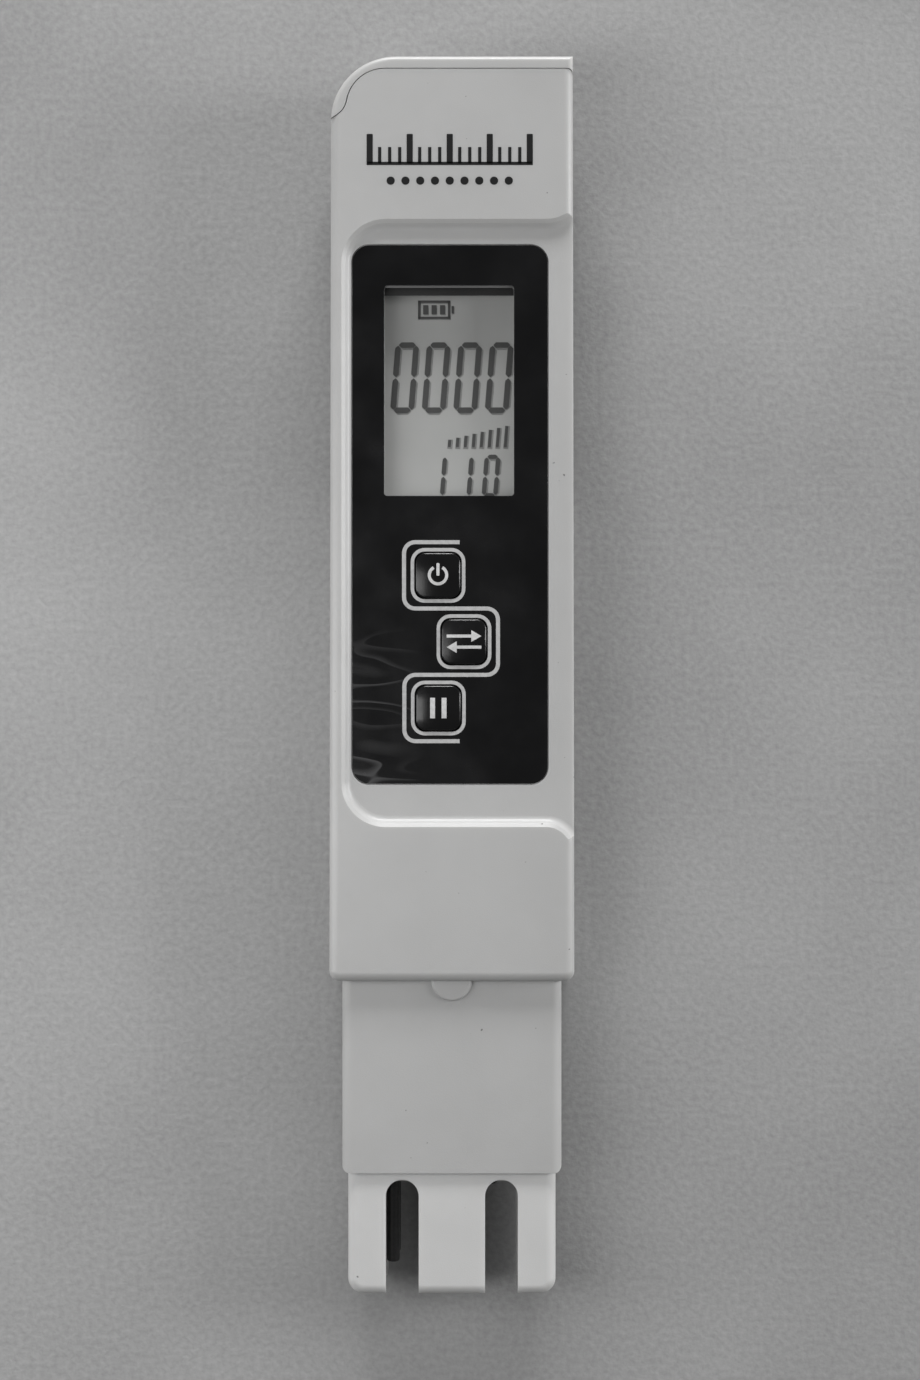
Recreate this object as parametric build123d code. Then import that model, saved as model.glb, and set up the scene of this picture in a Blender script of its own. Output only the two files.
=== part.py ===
from build123d import *
import os

# Handheld water tester lying on its back: the display faces +Z, the battery cap is at +Y and
# the probe at -Y. The origin is under the middle of the whole meter. All sizes are millimetres.

# Lengths, stacked from the probe's tip to the battery cap
guard_length = 15.1
sleeve_length = 23.7
housing_length = 111.35
cap_end_wall = 1.65

# Housing
tail_width = 30.0
head_taper = 0.4
head_width = tail_width - head_taper
thickness = 14.0
wall = 1.4
parting_height = 7.0
edge_radius = 1.1
tail_corner_radius = 1.2
head_corner_radius = 0.7
back_setback = thickness / 4
ramp_clip_gap = 1.0
ramp_length = 7.0
ramp_bend_radius = 6.0

# Left shoulder, where the cap wraps round the housing's corner
shoulder_radius = 4.65
shoulder_inset = 6.6
shoulder_x = head_width / 2 - shoulder_inset
shoulder_turn = 80.0
shoulder_drop = 6.0

# Battery compartment
cell_headroom = 1.5
cell_cap_height = 0.45
cell_edge_radius = 0.4
cell_gap = 0.8
cell_clearance = 0.15
tray_side_clearance = 0.2
tray_side_wall = 1.2
tray_width = head_width - 2 * wall - 2 * tray_side_clearance
cell_radius = (tray_width - 2 * tray_side_wall - cell_gap) / 4
cell_pitch = 2 * cell_radius + cell_gap
cell_rim = 0.8
cell_cap_radius = cell_radius - cell_rim
tray_floor = 0.6
tray_back_wall = 1.2
tray_headroom = 0.6
tray_head_clearance = 0.15
contact_thickness = 0.2
contact_width = 4.0
contact_slot_clearance = 0.2
contact_reach = 8.0
contact_leg_gap = 0.3
bridge_width = 5.0

# Battery cap and its pocket clip
cap_corner_radius = 8.0
cap_edge_radius = 0.65
parting_gap = 0.12
plug_depth = 3.2
plug_wall = 1.0
plug_clearance = 0.15
clip_width = 9.0
clip_length = 48.0
clip_thickness = 1.6
clip_bump_clearance = 0.3
clip_tip_radius = 3.5
clip_root_length = 3.9
clip_edge_radius = 0.4
clip_heel_radius = 2.0

# Lowered front zone, open to the right side
recess_depth = 0.9
recess_head_margin = 2.07
recess_tail_margin = 4.28
recess_left_margin = 0.35
recess_corner_radius = 4.4
recess_flare_inset = 3.3
recess_flare_x = head_width / 2 - recess_flare_inset
recess_flare_radius_head = 5.5
recess_flare_radius_tail = 4.0
recess_foot_radius = 0.8
recess_slope_rise = 0.6
recess_slope_run = 0.5
recess_crest_run = 0.45

# Front film with its pocket, and the window behind it
film_side_margin = 3.075
film_from_cells = 6.52
film_head_gap = plug_depth + 2 * cell_radius + film_from_cells
film_tail_gap = 24.13
film_width = tail_width - 2 * film_side_margin
film_length = housing_length - film_head_gap - film_tail_gap
film_corner_radius = 2.1
film_thickness = 0.3
film_x = -0.23
film_clearance = 0.15
pocket_depth = 0.35
window_side_margin = 3.975
window_share = 0.3915
window_width = film_width - 2 * window_side_margin
window_length = window_share * film_length
window_corner_radius = 0.4
window_x = -0.34
window_from_film_head = 4.87
lens_overlap = 0.85
lens_thickness = 1.0
lens_clearance = 0.05

# Keys
key_names = ("power", "mode", "hold")
key_x = (-1.69, 1.49, -1.65)
first_key_share = 0.613
key_pitch_share = 0.1232
key_spacing = 2.62
first_key_from_film_head = first_key_share * film_length
key_pitch = key_pitch_share * film_length
key_width = key_pitch - key_spacing
key_corner_radius = 1.2
key_clearance = 0.12
key_rise = 0.5
key_skirt = 2.05
key_crown_radius = 15.0
key_edge_radius = 0.25
key_travel = 0.4
plunger_radius = 1.7
plunger_clearance = 0.1
plunger_engagement = 0.8
switch_margin = 0.25
switch_width = key_width + 2 * switch_margin
plunger_show = 0.9
switch_edge_radius = 0.4

# Circuit board
board_back_clearance = 0.9
board_thickness = 0.8
board_side_clearance = 1.2
board_width = tail_width - 2 * wall - 2 * board_side_clearance
board_sleeve_gap = 1.6
board_tray_gap = 0.15
boss_radius = 1.8
boss_hole_radius = 0.75
boss_side_inset = 2.6
boss_x = board_width / 2 - boss_side_inset
tail_boss_inset = 5.5
head_boss_gap = 0.9
board_hole_radius = 0.9
screw_head_radius = 1.5
screw_head_height = 0.8
screw_shank_radius = 0.7
screw_length = 3.6
screw_end_gap = 0.4
board_rib_thickness = 1.0
board_rib_width = board_width - 2 * wall
board_rib_shares = (0.42, 0.63, 0.84)
parts_row_inset = 13.9
part_spacing = 2.4
small_part_size = (1.6, 0.8, 0.5)
small_part_count = 6
small_part_gap = 2.5
chip_radius = 4.0
chip_rise = 1.3
chip_side_inset = 8.1
chip_x = board_width / 2 - chip_side_inset
crystal_radius = 1.0
crystal_length = 6.0
crystal_side_inset = 4.6
crystal_x = crystal_side_inset - board_width / 2

# Display
glass_side_overlap = 1.55
glass_end_overlap = 2.1
glass_ledge = 1.7
glass_width = window_width + 2 * glass_side_overlap
glass_thickness = 1.0
front_glass_length = window_length + 2 * glass_end_overlap
rear_glass_length = front_glass_length - 2 * glass_ledge
polarizer_thickness = 0.2
polarizer_margin = 0.3
connector_width = 1.5
connector_side_inset = 1.0
connector_length = glass_width - 2 * connector_side_inset
display_headroom = 1.35
frame_wall = 0.7
frame_clearance = 0.1
frame_lip = 0.8

# Sleeve that the storage cap pushes onto
sleeve_clearance = 0.1
sleeve_wall = 1.2
sleeve_width = tail_width - 2 * wall - 2 * sleeve_clearance
sleeve_depth = thickness - 2 * wall - 2 * sleeve_clearance
sleeve_insertion = 6.0
sleeve_edge_radius = 1.2
sleeve_corner_radius = 0.9
groove_gap = 3.0
groove_width = 1.4
groove_depth = 0.6
groove_side_inset = 4.5
groove_length = sleeve_width - 2 * groove_side_inset
groove_clearance = 0.1
detent_radius = 2.5
detent_rise = 0.45
detent_edge_radius = 0.3

# Probe guard
guard_side_step = 0.7
guard_face_step = 0.5
guard_width = sleeve_width - 2 * guard_side_step
guard_depth = sleeve_depth - 2 * guard_face_step
guard_wall = 1.4
guard_edge_radius = 1.2
guard_corner_radius = 1.9
guard_spigot_length = 9.8
spigot_clearance = 0.1
slot_width = 4.05
slot_side_inset = 6.7
slot_x = guard_width / 2 - slot_side_inset
slot_end_wall = 0.9

# Probe
insert_recess = 1.4
insert_length = 7.2
insert_clearance = 0.1
resin_length = 3.0
electrode_radius = 0.82
electrode_from_slot = 1.2
electrode_x = -slot_x - electrode_from_slot
electrode_face_inset = 2.8
electrode_spread = guard_depth - 2 * electrode_face_inset
electrode_reach = 10.2
electrode_tail = 0.5
bead_radius = 0.6
bead_from_slot = 1.1
bead_x = slot_x - bead_from_slot
bead_reach = 1.1
bead_depth = 2.0
electrode_wire_radius = 0.45
electrode_wire_spread = 3.0
thermistor_wire_radius = 0.25
wire_bend_radius = 3.0
wire_straight = 10.0
wire_landing_length = 2.0

# Overlap of a cutter past the face it cuts or of a blank past its trim, and a margin when edges are picked
over = 5.0
pick_margin = 1.0

# Levels along Y
total_length = guard_length + sleeve_length + housing_length + cap_end_wall
guard_tip_y = -total_length / 2
sleeve_tip_y = guard_tip_y + guard_length
tail_y = sleeve_tip_y + sleeve_length
head_y = tail_y + housing_length
cap_top_y = head_y + cap_end_wall
ramp_end_y = cap_top_y - clip_length - ramp_clip_gap
ramp_start_y = ramp_end_y - ramp_length
film_head_y = head_y - film_head_gap
film_tail_y = film_head_y - film_length
film_y = (film_head_y + film_tail_y) / 2
recess_head_y = film_head_y + recess_head_margin
recess_tail_y = film_tail_y - recess_tail_margin
recess_left = film_width / 2 - film_x + recess_left_margin
window_y = film_head_y - window_from_film_head - window_length / 2
cell_y = head_y - plug_depth - tray_head_clearance - cell_clearance - cell_radius
tray_head_y = head_y - plug_depth - tray_head_clearance
tray_back_y = cell_y - cell_radius - cell_clearance - tray_back_wall
sleeve_root_y = tail_y + sleeve_insertion
board_tail_y = sleeve_root_y + board_sleeve_gap
board_head_y = tray_back_y - board_tray_gap
frame_head_y = window_y + front_glass_length / 2 + frame_clearance + frame_wall
tail_boss_y = board_tail_y + tail_boss_inset
head_boss_y = frame_head_y + head_boss_gap + boss_radius
parts_row_y = board_tail_y + parts_row_inset
spigot_end_y = sleeve_tip_y + guard_spigot_length
insert_tip_y = sleeve_tip_y - insert_recess
insert_end_y = insert_tip_y + insert_length
resin_end_y = insert_end_y + resin_length

# Levels along Z
recess_floor = thickness - recess_depth
pocket_floor = recess_floor - pocket_depth
film_top = pocket_floor + film_thickness
recess_ceiling = pocket_floor - wall
raised_ceiling = thickness - wall
thin_floor = back_setback + wall
board_bottom = thin_floor + board_back_clearance
board_top = board_bottom + board_thickness
display_top = recess_ceiling - display_headroom
front_glass_bottom = display_top - polarizer_thickness - glass_thickness
rear_glass_bottom = front_glass_bottom - glass_thickness
connector_height = front_glass_bottom - board_top
key_foot = film_top - key_skirt
switch_top = key_foot - plunger_show
switch_height = switch_top - board_top
plunger_foot = switch_top - plunger_engagement
tray_height = raised_ceiling - tray_headroom - thin_floor
tray_floor_top = thin_floor + tray_floor
cell_bottom = tray_floor_top + contact_thickness
cell_top = raised_ceiling - cell_headroom
cell_height = cell_top - cell_bottom
middle = thickness / 2


def half_width_at(y):
    """Half the housing's width, which tapers evenly from the tail to the head."""
    share = (y - tail_y) / housing_length
    return (tail_width + (head_width - tail_width) * share) / 2


def key_centres():
    """Name, x and y of each key, from the display's end to the probe's end."""
    first_y = film_head_y - first_key_from_film_head
    return [(name, x, first_y - row * key_pitch) for row, (name, x) in enumerate(zip(key_names, key_x))]


def rounded_plate(x, y, width, length, radius, bottom, top):
    """A flat rounded rectangle between two levels."""
    outline = Pos(x, y, bottom) * RectangleRounded(width, length, radius)
    return extrude(outline, top - bottom)


def block(x, y, bottom, width, length, height):
    """A plain block standing on its bottom level."""
    return Pos(x, y, bottom + height / 2) * Box(width, length, height)


def tube_section(width, depth, radius, start_y, end_y):
    """A rounded-rectangle bar along Y, centred on the housing's mid height."""
    plane = Plane((0, start_y, middle), x_dir=(1, 0, 0), z_dir=(0, 1, 0))
    if radius > 0:
        outline = plane * RectangleRounded(width, depth, radius)
    else:
        outline = plane * Rectangle(width, depth)
    return extrude(outline, end_y - start_y)


def edges_at_level(solid, level, last_y):
    """Edges lying flat at one Z level and starting below a Y limit."""
    flat = [edge for edge in solid.edges() if abs(edge.bounding_box().min.Z - level) < 1e-4]
    flat = [edge for edge in flat if abs(edge.bounding_box().max.Z - level) < 1e-4]
    return [edge for edge in flat if edge.center().Y < last_y]


# Housing


def blank_outline():
    """Plan of the housing run on past the head, before the parting line trims it."""
    end_y = head_y + over
    with BuildSketch() as plan:
        with BuildLine():
            Polyline(
                (-half_width_at(tail_y), tail_y),
                (half_width_at(tail_y), tail_y),
                (half_width_at(end_y), end_y),
                (-half_width_at(end_y), end_y),
                close=True,
            )
        make_face()
        fillet(plan.vertices().group_by(Axis.Y)[0], tail_corner_radius)
    return plan.sketch


def head_limit():
    """Everything on the tail side of the parting line with the battery cap."""
    right = half_width_at(head_y)
    left = (-half_width_at(head_y - shoulder_drop), head_y - shoulder_drop)
    outside = tail_width
    with BuildSketch() as plan:
        with BuildLine():
            centre = (-shoulder_x, head_y - shoulder_radius)
            shoulder = CenterArc(centre, shoulder_radius, 90, shoulder_turn)
            hollow = TangentArc(shoulder @ 1, left, tangent=shoulder % 1)
            Polyline(
                hollow @ 1,
                (-outside, left[1]),
                (-outside, tail_y - over),
                (outside, tail_y - over),
                (outside, head_y - 2 * head_corner_radius),
                (right, head_y - 2 * head_corner_radius),
                (right, head_y),
                shoulder @ 0,
            )
        make_face()
        corner = plan.vertices().sort_by(lambda v: abs(v.Y - head_y) + abs(v.X - right))[0]
        fillet(corner, head_corner_radius)
    return plan.sketch


def side_profile(inset, top):
    """Side view of the housing: full depth at the tail, set back behind the clip at the head."""
    with BuildSketch(Plane.YZ) as view:
        with BuildLine():
            Polyline(
                (tail_y - over, inset),
                (ramp_start_y - inset / 2, inset),
                (ramp_end_y - inset / 2, back_setback + inset),
                (head_y + 2 * over, back_setback + inset),
                (head_y + 2 * over, top),
                (tail_y - over, top),
                close=True,
            )
        make_face()
        middle_y = (ramp_start_y + ramp_end_y) / 2
        bends = view.vertices().sort_by(lambda v: abs(v.X - middle_y))[0:2]
        fillet(bends, ramp_bend_radius)
    return view.sketch


def housing_blank(top):
    """Solid housing up to one front level, with its long edges and tail edge rounded."""
    solid = extrude(blank_outline(), top) & extrude(side_profile(0, top), tail_width, both=True)
    end_y = head_y + over
    solid = fillet(edges_at_level(solid, top, end_y - 0.1), edge_radius)
    back_faces = [
        face
        for face in solid.faces()
        if face.center().Z < back_setback + 0.01 and face.normal_at().Z < -0.3
    ]
    back_edges = [edge for face in back_faces for edge in face.edges()]
    outer = [edge for edge in back_edges if sum(edge.is_same(other) for other in back_edges) == 1]
    outer = [edge for edge in outer if edge.center().Y < end_y - 0.1]
    solid = fillet(outer, edge_radius)
    return solid & extrude(head_limit(), top)


def recess_outline(rise, run):
    """Plan of the lowered front zone at one height above its floor, with its sides moved out by a run."""
    head = recess_head_y + run
    tail = recess_tail_y - run
    outside = tail_width
    corner = recess_corner_radius
    with BuildSketch(Plane.XY.offset(recess_floor + rise)) as plan:
        with BuildLine():
            head_radius = recess_flare_radius_head - run
            tail_radius = recess_flare_radius_tail - run
            head_flare = CenterArc((recess_flare_x, head + head_radius), head_radius, -90, 60)
            tail_flare = CenterArc((recess_flare_x, tail - tail_radius), tail_radius, 90, -60)
            low_centre = (corner - recess_left, recess_tail_y + corner)
            high_centre = (corner - recess_left, recess_head_y - corner)
            low_corner = CenterArc(low_centre, corner + run, -90, -90)
            high_corner = CenterArc(high_centre, corner + run, 180, -90)
            head_end = head_flare @ 1
            tail_end = tail_flare @ 1
            Polyline(head_end, (outside, head_end.Y), (outside, tail_end.Y), tail_end)
            Line(tail_flare @ 0, low_corner @ 0)
            Line(low_corner @ 1, high_corner @ 0)
            Line(high_corner @ 1, head_flare @ 0)
        make_face()
    return plan.sketch


def housing_solid():
    """The whole housing before it is hollowed: raised ends and left rail, lowered middle."""
    crest_rise = recess_depth - recess_slope_rise
    outlines = [
        recess_outline(0, 0),
        recess_outline(recess_slope_rise, recess_slope_run),
        recess_outline(recess_depth + crest_rise, recess_slope_run + 2 * recess_crest_run),
    ]
    cutter = loft(outlines, ruled=True)
    solid = (housing_blank(thickness) - cutter) + (housing_blank(recess_floor) & cutter)
    foot = [
        edge
        for edge in edges_at_level(solid, recess_floor, head_y)
        if edge.center().X < recess_flare_x + pick_margin
    ]
    return fillet(foot, recess_foot_radius)


def cavity_plan():
    """Inside of the side walls, open at the head for the cap and at the tail for the sleeve."""
    low = tail_y - over
    high = head_y + over
    with BuildSketch() as plan:
        with BuildLine():
            Polyline(
                (-half_width_at(low) + wall, low),
                (half_width_at(low) - wall, low),
                (half_width_at(high) - wall, high),
                (-half_width_at(high) + wall, high),
                close=True,
            )
        make_face()
    return plan.sketch


def cavity():
    """Hollow of the housing, deeper in front under the two raised ends."""
    inside = extrude(cavity_plan(), thickness)
    hollow = inside & extrude(side_profile(wall, recess_ceiling), tail_width, both=True)
    head_start = recess_head_y + recess_depth + wall
    tail_end = recess_tail_y - recess_depth - wall
    head_length = head_y + over - head_start
    tail_length = tail_end - tail_y + over
    extra = raised_ceiling - recess_ceiling
    head_room = block(0, head_start + head_length / 2, recess_ceiling, tail_width, head_length, extra)
    tail_room = block(0, tail_end - tail_length / 2, recess_ceiling, tail_width, tail_length, extra)
    return hollow + (head_room & inside) + (tail_room & inside)


def tongue(clearance):
    """Strip along both side walls that stands up from the back shell into the front shell."""
    low = tail_y + sleeve_insertion + wall - clearance
    high = head_y - shoulder_drop - wall + clearance
    strip = wall / 2 + clearance
    rise = wall - 0.1 + clearance
    sides = []
    for side in (-1, 1):
        with BuildSketch(Plane.XY.offset(parting_height)) as plan:
            with BuildLine():
                Polyline(
                    (side * (half_width_at(low) - wall), low),
                    (side * (half_width_at(low) - wall + strip), low),
                    (side * (half_width_at(high) - wall + strip), high),
                    (side * (half_width_at(high) - wall), high),
                    close=True,
                )
            make_face()
        sides.append(extrude(plan.sketch, rise))
    return sides


def sleeve_keys(clearance):
    """Ribs inside both shells that hold the sleeve by its grooves."""
    y = tail_y + groove_gap
    length = groove_length + 2 * clearance
    width = groove_width - 2 * groove_clearance + 2 * clearance
    height = groove_depth - groove_clearance + clearance
    front = block(0, y, raised_ceiling - height, length, width, height)
    back = block(0, y, wall, length, width, height)
    return front, back


def boss_points():
    """Centres of the four screw bosses."""
    return [(side * boss_x, y) for y in (tail_boss_y, head_boss_y) for side in (-1, 1)]


def front_shell(solid, hollow):
    """Front moulding with film pocket, window, key holes and screw bosses."""
    shell = split(solid - hollow, bisect_by=Plane.XY.offset(parting_height), keep=Keep.TOP)
    pocket_width = film_width + 2 * film_clearance
    pocket_length = film_length + 2 * film_clearance
    pocket_radius = film_corner_radius + film_clearance
    shell -= rounded_plate(
        film_x, film_y, pocket_width, pocket_length, pocket_radius, pocket_floor, thickness + over
    )
    shell -= rounded_plate(
        window_x, window_y, window_width, window_length, window_corner_radius, middle, thickness
    )
    rebate_width = window_width + 2 * (lens_overlap + lens_clearance)
    rebate_length = window_length + 2 * (lens_overlap + lens_clearance)
    shell -= rounded_plate(
        window_x,
        window_y,
        rebate_width,
        rebate_length,
        window_corner_radius + lens_overlap,
        pocket_floor - lens_thickness,
        thickness,
    )
    hole = key_width + 2 * key_clearance
    for _, x, y in key_centres():
        shell -= rounded_plate(x, y, hole, hole, key_corner_radius + key_clearance, middle, thickness)
    for strip in tongue(groove_clearance):
        shell -= strip
    for x, y in boss_points():
        ceiling = raised_ceiling if y < recess_tail_y else recess_ceiling
        shell += Pos(x, y, (board_top + ceiling) / 2) * Cylinder(boss_radius, ceiling - board_top)
        depth = screw_length + screw_end_gap
        shell -= Pos(x, y, board_top + depth / 2) * Cylinder(boss_hole_radius, depth)
    return shell + sleeve_keys(0)[0]


def back_shell(solid, hollow):
    """Back moulding with the joint's tongue, board ribs and the sleeve's rib."""
    shell = split(solid - hollow, bisect_by=Plane.XY.offset(parting_height), keep=Keep.BOTTOM)
    for strip in tongue(0):
        shell += strip
    for share in board_rib_shares:
        y = tail_y + share * (ramp_start_y - tail_y)
        shell += block(0, y, wall, board_rib_width, board_rib_thickness, board_bottom - wall)
    return shell + sleeve_keys(0)[1]


# Front film, window and keys


def overlay_film():
    """Printed film with openings for the display and the three keys."""
    film = rounded_plate(
        film_x, film_y, film_width, film_length, film_corner_radius, pocket_floor, film_top
    )
    film -= rounded_plate(
        window_x, window_y, window_width, window_length, window_corner_radius, middle, thickness
    )
    hole = key_width + 2 * key_clearance
    for _, x, y in key_centres():
        film -= rounded_plate(x, y, hole, hole, key_corner_radius + key_clearance, middle, thickness)
    return film


def display_lens():
    """Clear window seated in the front shell's rebate, under the film's edge."""
    width = window_width + 2 * lens_overlap
    length = window_length + 2 * lens_overlap
    radius = window_corner_radius + lens_overlap - lens_clearance
    return rounded_plate(
        window_x, window_y, width, length, radius, pocket_floor - lens_thickness, pocket_floor
    )


def key_pad(x, y):
    """Square key with rounded corners and a slightly domed top."""
    top = film_top + key_rise
    pad = rounded_plate(x, y, key_width, key_width, key_corner_radius, key_foot, top + over)
    pad &= Pos(x, y, top - key_crown_radius) * Sphere(key_crown_radius)
    crown = pad.faces().sort_by(Axis.Z)[-1]
    return fillet(crown.edges(), key_edge_radius)


def switch_plunger(x, y):
    """Round plunger between a key and its switch."""
    length = key_foot - plunger_foot
    return Pos(x, y, plunger_foot + length / 2) * Cylinder(plunger_radius, length)


def switch_body(x, y):
    """Tact switch with the well its plunger slides in."""
    body = block(x, y, board_top, switch_width, switch_width, switch_height)
    body = fillet(body.edges().filter_by(Axis.Z), switch_edge_radius)
    well_floor = plunger_foot - key_travel - plunger_clearance
    depth = switch_top + over - well_floor
    return body - Pos(x, y, well_floor + depth / 2) * Cylinder(plunger_radius + plunger_clearance, depth)


# Circuit board and display


def circuit_board():
    """Board under the display and keys, with a clearance hole at each boss."""
    y = (board_tail_y + board_head_y) / 2
    board = block(0, y, board_bottom, board_width, board_head_y - board_tail_y, board_thickness)
    for x, hole_y in boss_points():
        board -= Pos(x, hole_y, board_bottom) * Cylinder(board_hole_radius, over)
    return board


def board_screws():
    """Four small screws, driven from the back into the bosses."""
    screws = []
    for x, y in boss_points():
        head_z = board_bottom - screw_head_height / 2
        head = Pos(x, y, head_z) * Cylinder(screw_head_radius, screw_head_height)
        shank_length = board_thickness + screw_length
        shank = Pos(x, y, board_bottom + shank_length / 2) * Cylinder(screw_shank_radius, shank_length)
        head = fillet(head.edges().group_by(Axis.Z)[0], screw_head_height / 3)
        screws.append(head + shank)
    return screws


def chip_blob():
    """Domed resin cap over the board's bare chip."""
    sphere_radius = (chip_radius**2 + chip_rise**2) / (2 * chip_rise)
    place = Pos(chip_x, parts_row_y, board_top)
    ball = place * (Pos(0, 0, chip_rise - sphere_radius) * Sphere(sphere_radius))
    return ball & (place * (Pos(0, 0, chip_rise / 2) * Cylinder(chip_radius + pick_margin, chip_rise)))


def crystal():
    """Clock crystal, a small can lying on the board."""
    can = Cylinder(crystal_radius, crystal_length)
    can = fillet(can.edges().group_by(Axis.Z)[-1], crystal_radius / 3)
    return Pos(crystal_x, parts_row_y, board_top + crystal_radius) * Rot(0, 90, 0) * can


def small_parts():
    """Row of chip resistors and capacitors between the chip and the keys."""
    width, length, height = small_part_size
    start = -part_spacing * (small_part_count - 1) / 2
    y = parts_row_y + chip_radius + small_part_gap
    row = range(small_part_count)
    return [block(start + part_spacing * i, y, board_top, width, length, height) for i in row]


def display_layer(width, length, bottom, height):
    """One flat layer of the display, centred behind the window."""
    return block(window_x, window_y, bottom, width, length, height)


def display_layers():
    """Polarizers and glasses from the front down, by node name."""
    thin = polarizer_thickness
    narrow = glass_width - 2 * polarizer_margin
    front_length = front_glass_length - 2 * polarizer_margin
    rear_length = rear_glass_length - 2 * polarizer_margin
    return {
        "front_polarizer": display_layer(narrow, front_length, display_top - thin, thin),
        "front_glass": display_layer(
            glass_width, front_glass_length, front_glass_bottom, glass_thickness
        ),
        "rear_glass": display_layer(glass_width, rear_glass_length, rear_glass_bottom, glass_thickness),
        "rear_polarizer": display_layer(narrow, rear_length, rear_glass_bottom - thin, thin),
    }


def display_connectors():
    """Two rubber strips between the board and the ledges of the front glass."""
    ledge = (front_glass_length + rear_glass_length) / 4
    strips = []
    for end in (-1, 1):
        y = window_y + end * ledge
        strips.append(
            block(window_x, y, board_top, connector_length, connector_width, connector_height)
        )
    return strips


def display_frame():
    """Frame that holds the display on the board and lines the window from behind."""
    pocket_width = glass_width + 2 * frame_clearance
    pocket_length = front_glass_length + 2 * frame_clearance
    outer_width = pocket_width + 2 * frame_wall
    outer_length = pocket_length + 2 * frame_wall
    height = recess_ceiling - board_top
    frame = block(window_x, window_y, board_top, outer_width, outer_length, height)
    frame -= block(window_x, window_y, board_top, pocket_width, pocket_length, display_top - board_top)
    opening_width = pocket_width - 2 * frame_lip
    opening_length = pocket_length - 2 * frame_lip
    return frame - block(window_x, window_y, board_top, opening_width, opening_length, over + height)


# Battery compartment


def cell_places():
    """Centre of each button cell, left then right."""
    return (-cell_pitch / 2, cell_y), (cell_pitch / 2, cell_y)


def button_cell(x, y, flipped):
    """Button cell: a wide can with a slightly smaller cap on one face."""
    can_height = cell_height - cell_cap_height
    can = Pos(0, 0, can_height / 2) * Cylinder(cell_radius, can_height)
    can = fillet(can.edges().group_by(Axis.Z)[-1], cell_edge_radius)
    can = fillet(can.edges().group_by(Axis.Z)[0], cell_edge_radius / 2)
    cap = Pos(0, 0, cell_height / 2) * Cylinder(cell_cap_radius, cell_height)
    cap = fillet(cap.edges().group_by(Axis.Z)[-1], cell_edge_radius / 2)
    cell = can + cap
    if flipped:
        return Pos(x, y, cell_top) * Rot(180, 0, 0) * cell
    return Pos(x, y, cell_bottom) * cell


def battery_tray():
    """Tray with two round pockets, open at the head so that the cells slide out."""
    middle_y = (tray_back_y + tray_head_y) / 2
    tray = block(0, middle_y, thin_floor, tray_width, tray_head_y - tray_back_y, tray_height)
    pocket_radius = cell_radius + cell_clearance
    notch_width = contact_width + 2 * contact_slot_clearance
    for x, y in cell_places():
        tray -= Pos(x, y, tray_floor_top + over) * Cylinder(pocket_radius, 2 * over)
        tray -= block(x, y + over, tray_floor_top, 2 * pocket_radius, 2 * over, 2 * over)
        tray -= block(x, tray_back_y, cell_top, notch_width, 2 * over, 2 * over)
    link_width = bridge_width + 2 * contact_slot_clearance
    tray -= block(0, cell_y, tray_floor_top, cell_pitch, link_width, contact_thickness)
    return tray & extrude(offset(head_limit(), -cell_clearance), thickness)


def cell_contact(x):
    """Bent strip from a cell's upper face, over the tray's back wall and down to the board."""
    leg_y = board_head_y - contact_leg_gap
    reach_y = leg_y + contact_reach
    low = cell_top
    high = low + contact_thickness
    with BuildSketch(Plane.YZ) as view:
        with BuildLine():
            Polyline(
                (leg_y, board_top),
                (leg_y, high),
                (reach_y, high),
                (reach_y, low),
                (leg_y + contact_thickness, low),
                (leg_y + contact_thickness, board_top),
                close=True,
            )
        make_face()
    return Pos(x, 0, 0) * extrude(view.sketch, contact_width / 2, both=True)


def contact_bridge():
    """Plate under both cells that joins them in series."""
    plate = block(0, cell_y, tray_floor_top, cell_pitch, bridge_width, contact_thickness)
    disc_z = tray_floor_top + contact_thickness / 2
    for x, y in cell_places():
        plate += Pos(x, y, disc_z) * Cylinder(bridge_width / 2, contact_thickness)
    return plate


# Battery cap


def cap_outline():
    """Plan of the cap's outside, run on towards the tail."""
    right = head_width / 2
    low = head_y - shoulder_drop - over
    with BuildSketch() as plan:
        with BuildLine():
            Polyline((-right, low), (right, low), (right, cap_top_y), (-right, cap_top_y), close=True)
        make_face()
        top = plan.vertices().group_by(Axis.Y)[-1].sort_by(Axis.X)
        fillet(top[0], cap_corner_radius)
        fillet(top[-1], head_corner_radius)
    return plan.sketch


def cap_shell():
    """End wall and wrapped corner, up to the parting gap round the housing's head."""
    low = head_y - shoulder_drop - over
    outer = extrude(Pos(0, 0, back_setback) * cap_outline(), thickness - back_setback)
    rims = [e for e in edges_at_level(outer, thickness, 2 * cap_top_y) if e.center().Y > low + 0.1]
    rims += [e for e in edges_at_level(outer, back_setback, 2 * cap_top_y) if e.center().Y > low + 0.1]
    outer = fillet(rims, cap_edge_radius)
    gap_limit = offset(head_limit(), parting_gap)
    return outer - extrude(gap_limit, thickness)


def cap_plug():
    """Hollow rim that enters the housing's open end."""
    width = 2 * (half_width_at(head_y) - wall - plug_clearance)
    bottom = thin_floor + plug_clearance
    height = raised_ceiling - plug_clearance - bottom
    length = plug_depth + parting_gap + cap_end_wall / 2
    y = head_y - plug_depth + length / 2
    rim = block(0, y, bottom, width, length, height)
    rim = fillet(rim.edges().filter_by(Axis.Y), plug_wall)
    inner = block(0, y, bottom + plug_wall, width - 2 * plug_wall, length, height - 2 * plug_wall)
    return (rim - inner) & extrude(offset(cap_outline(), -plug_wall / 2), thickness)


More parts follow.
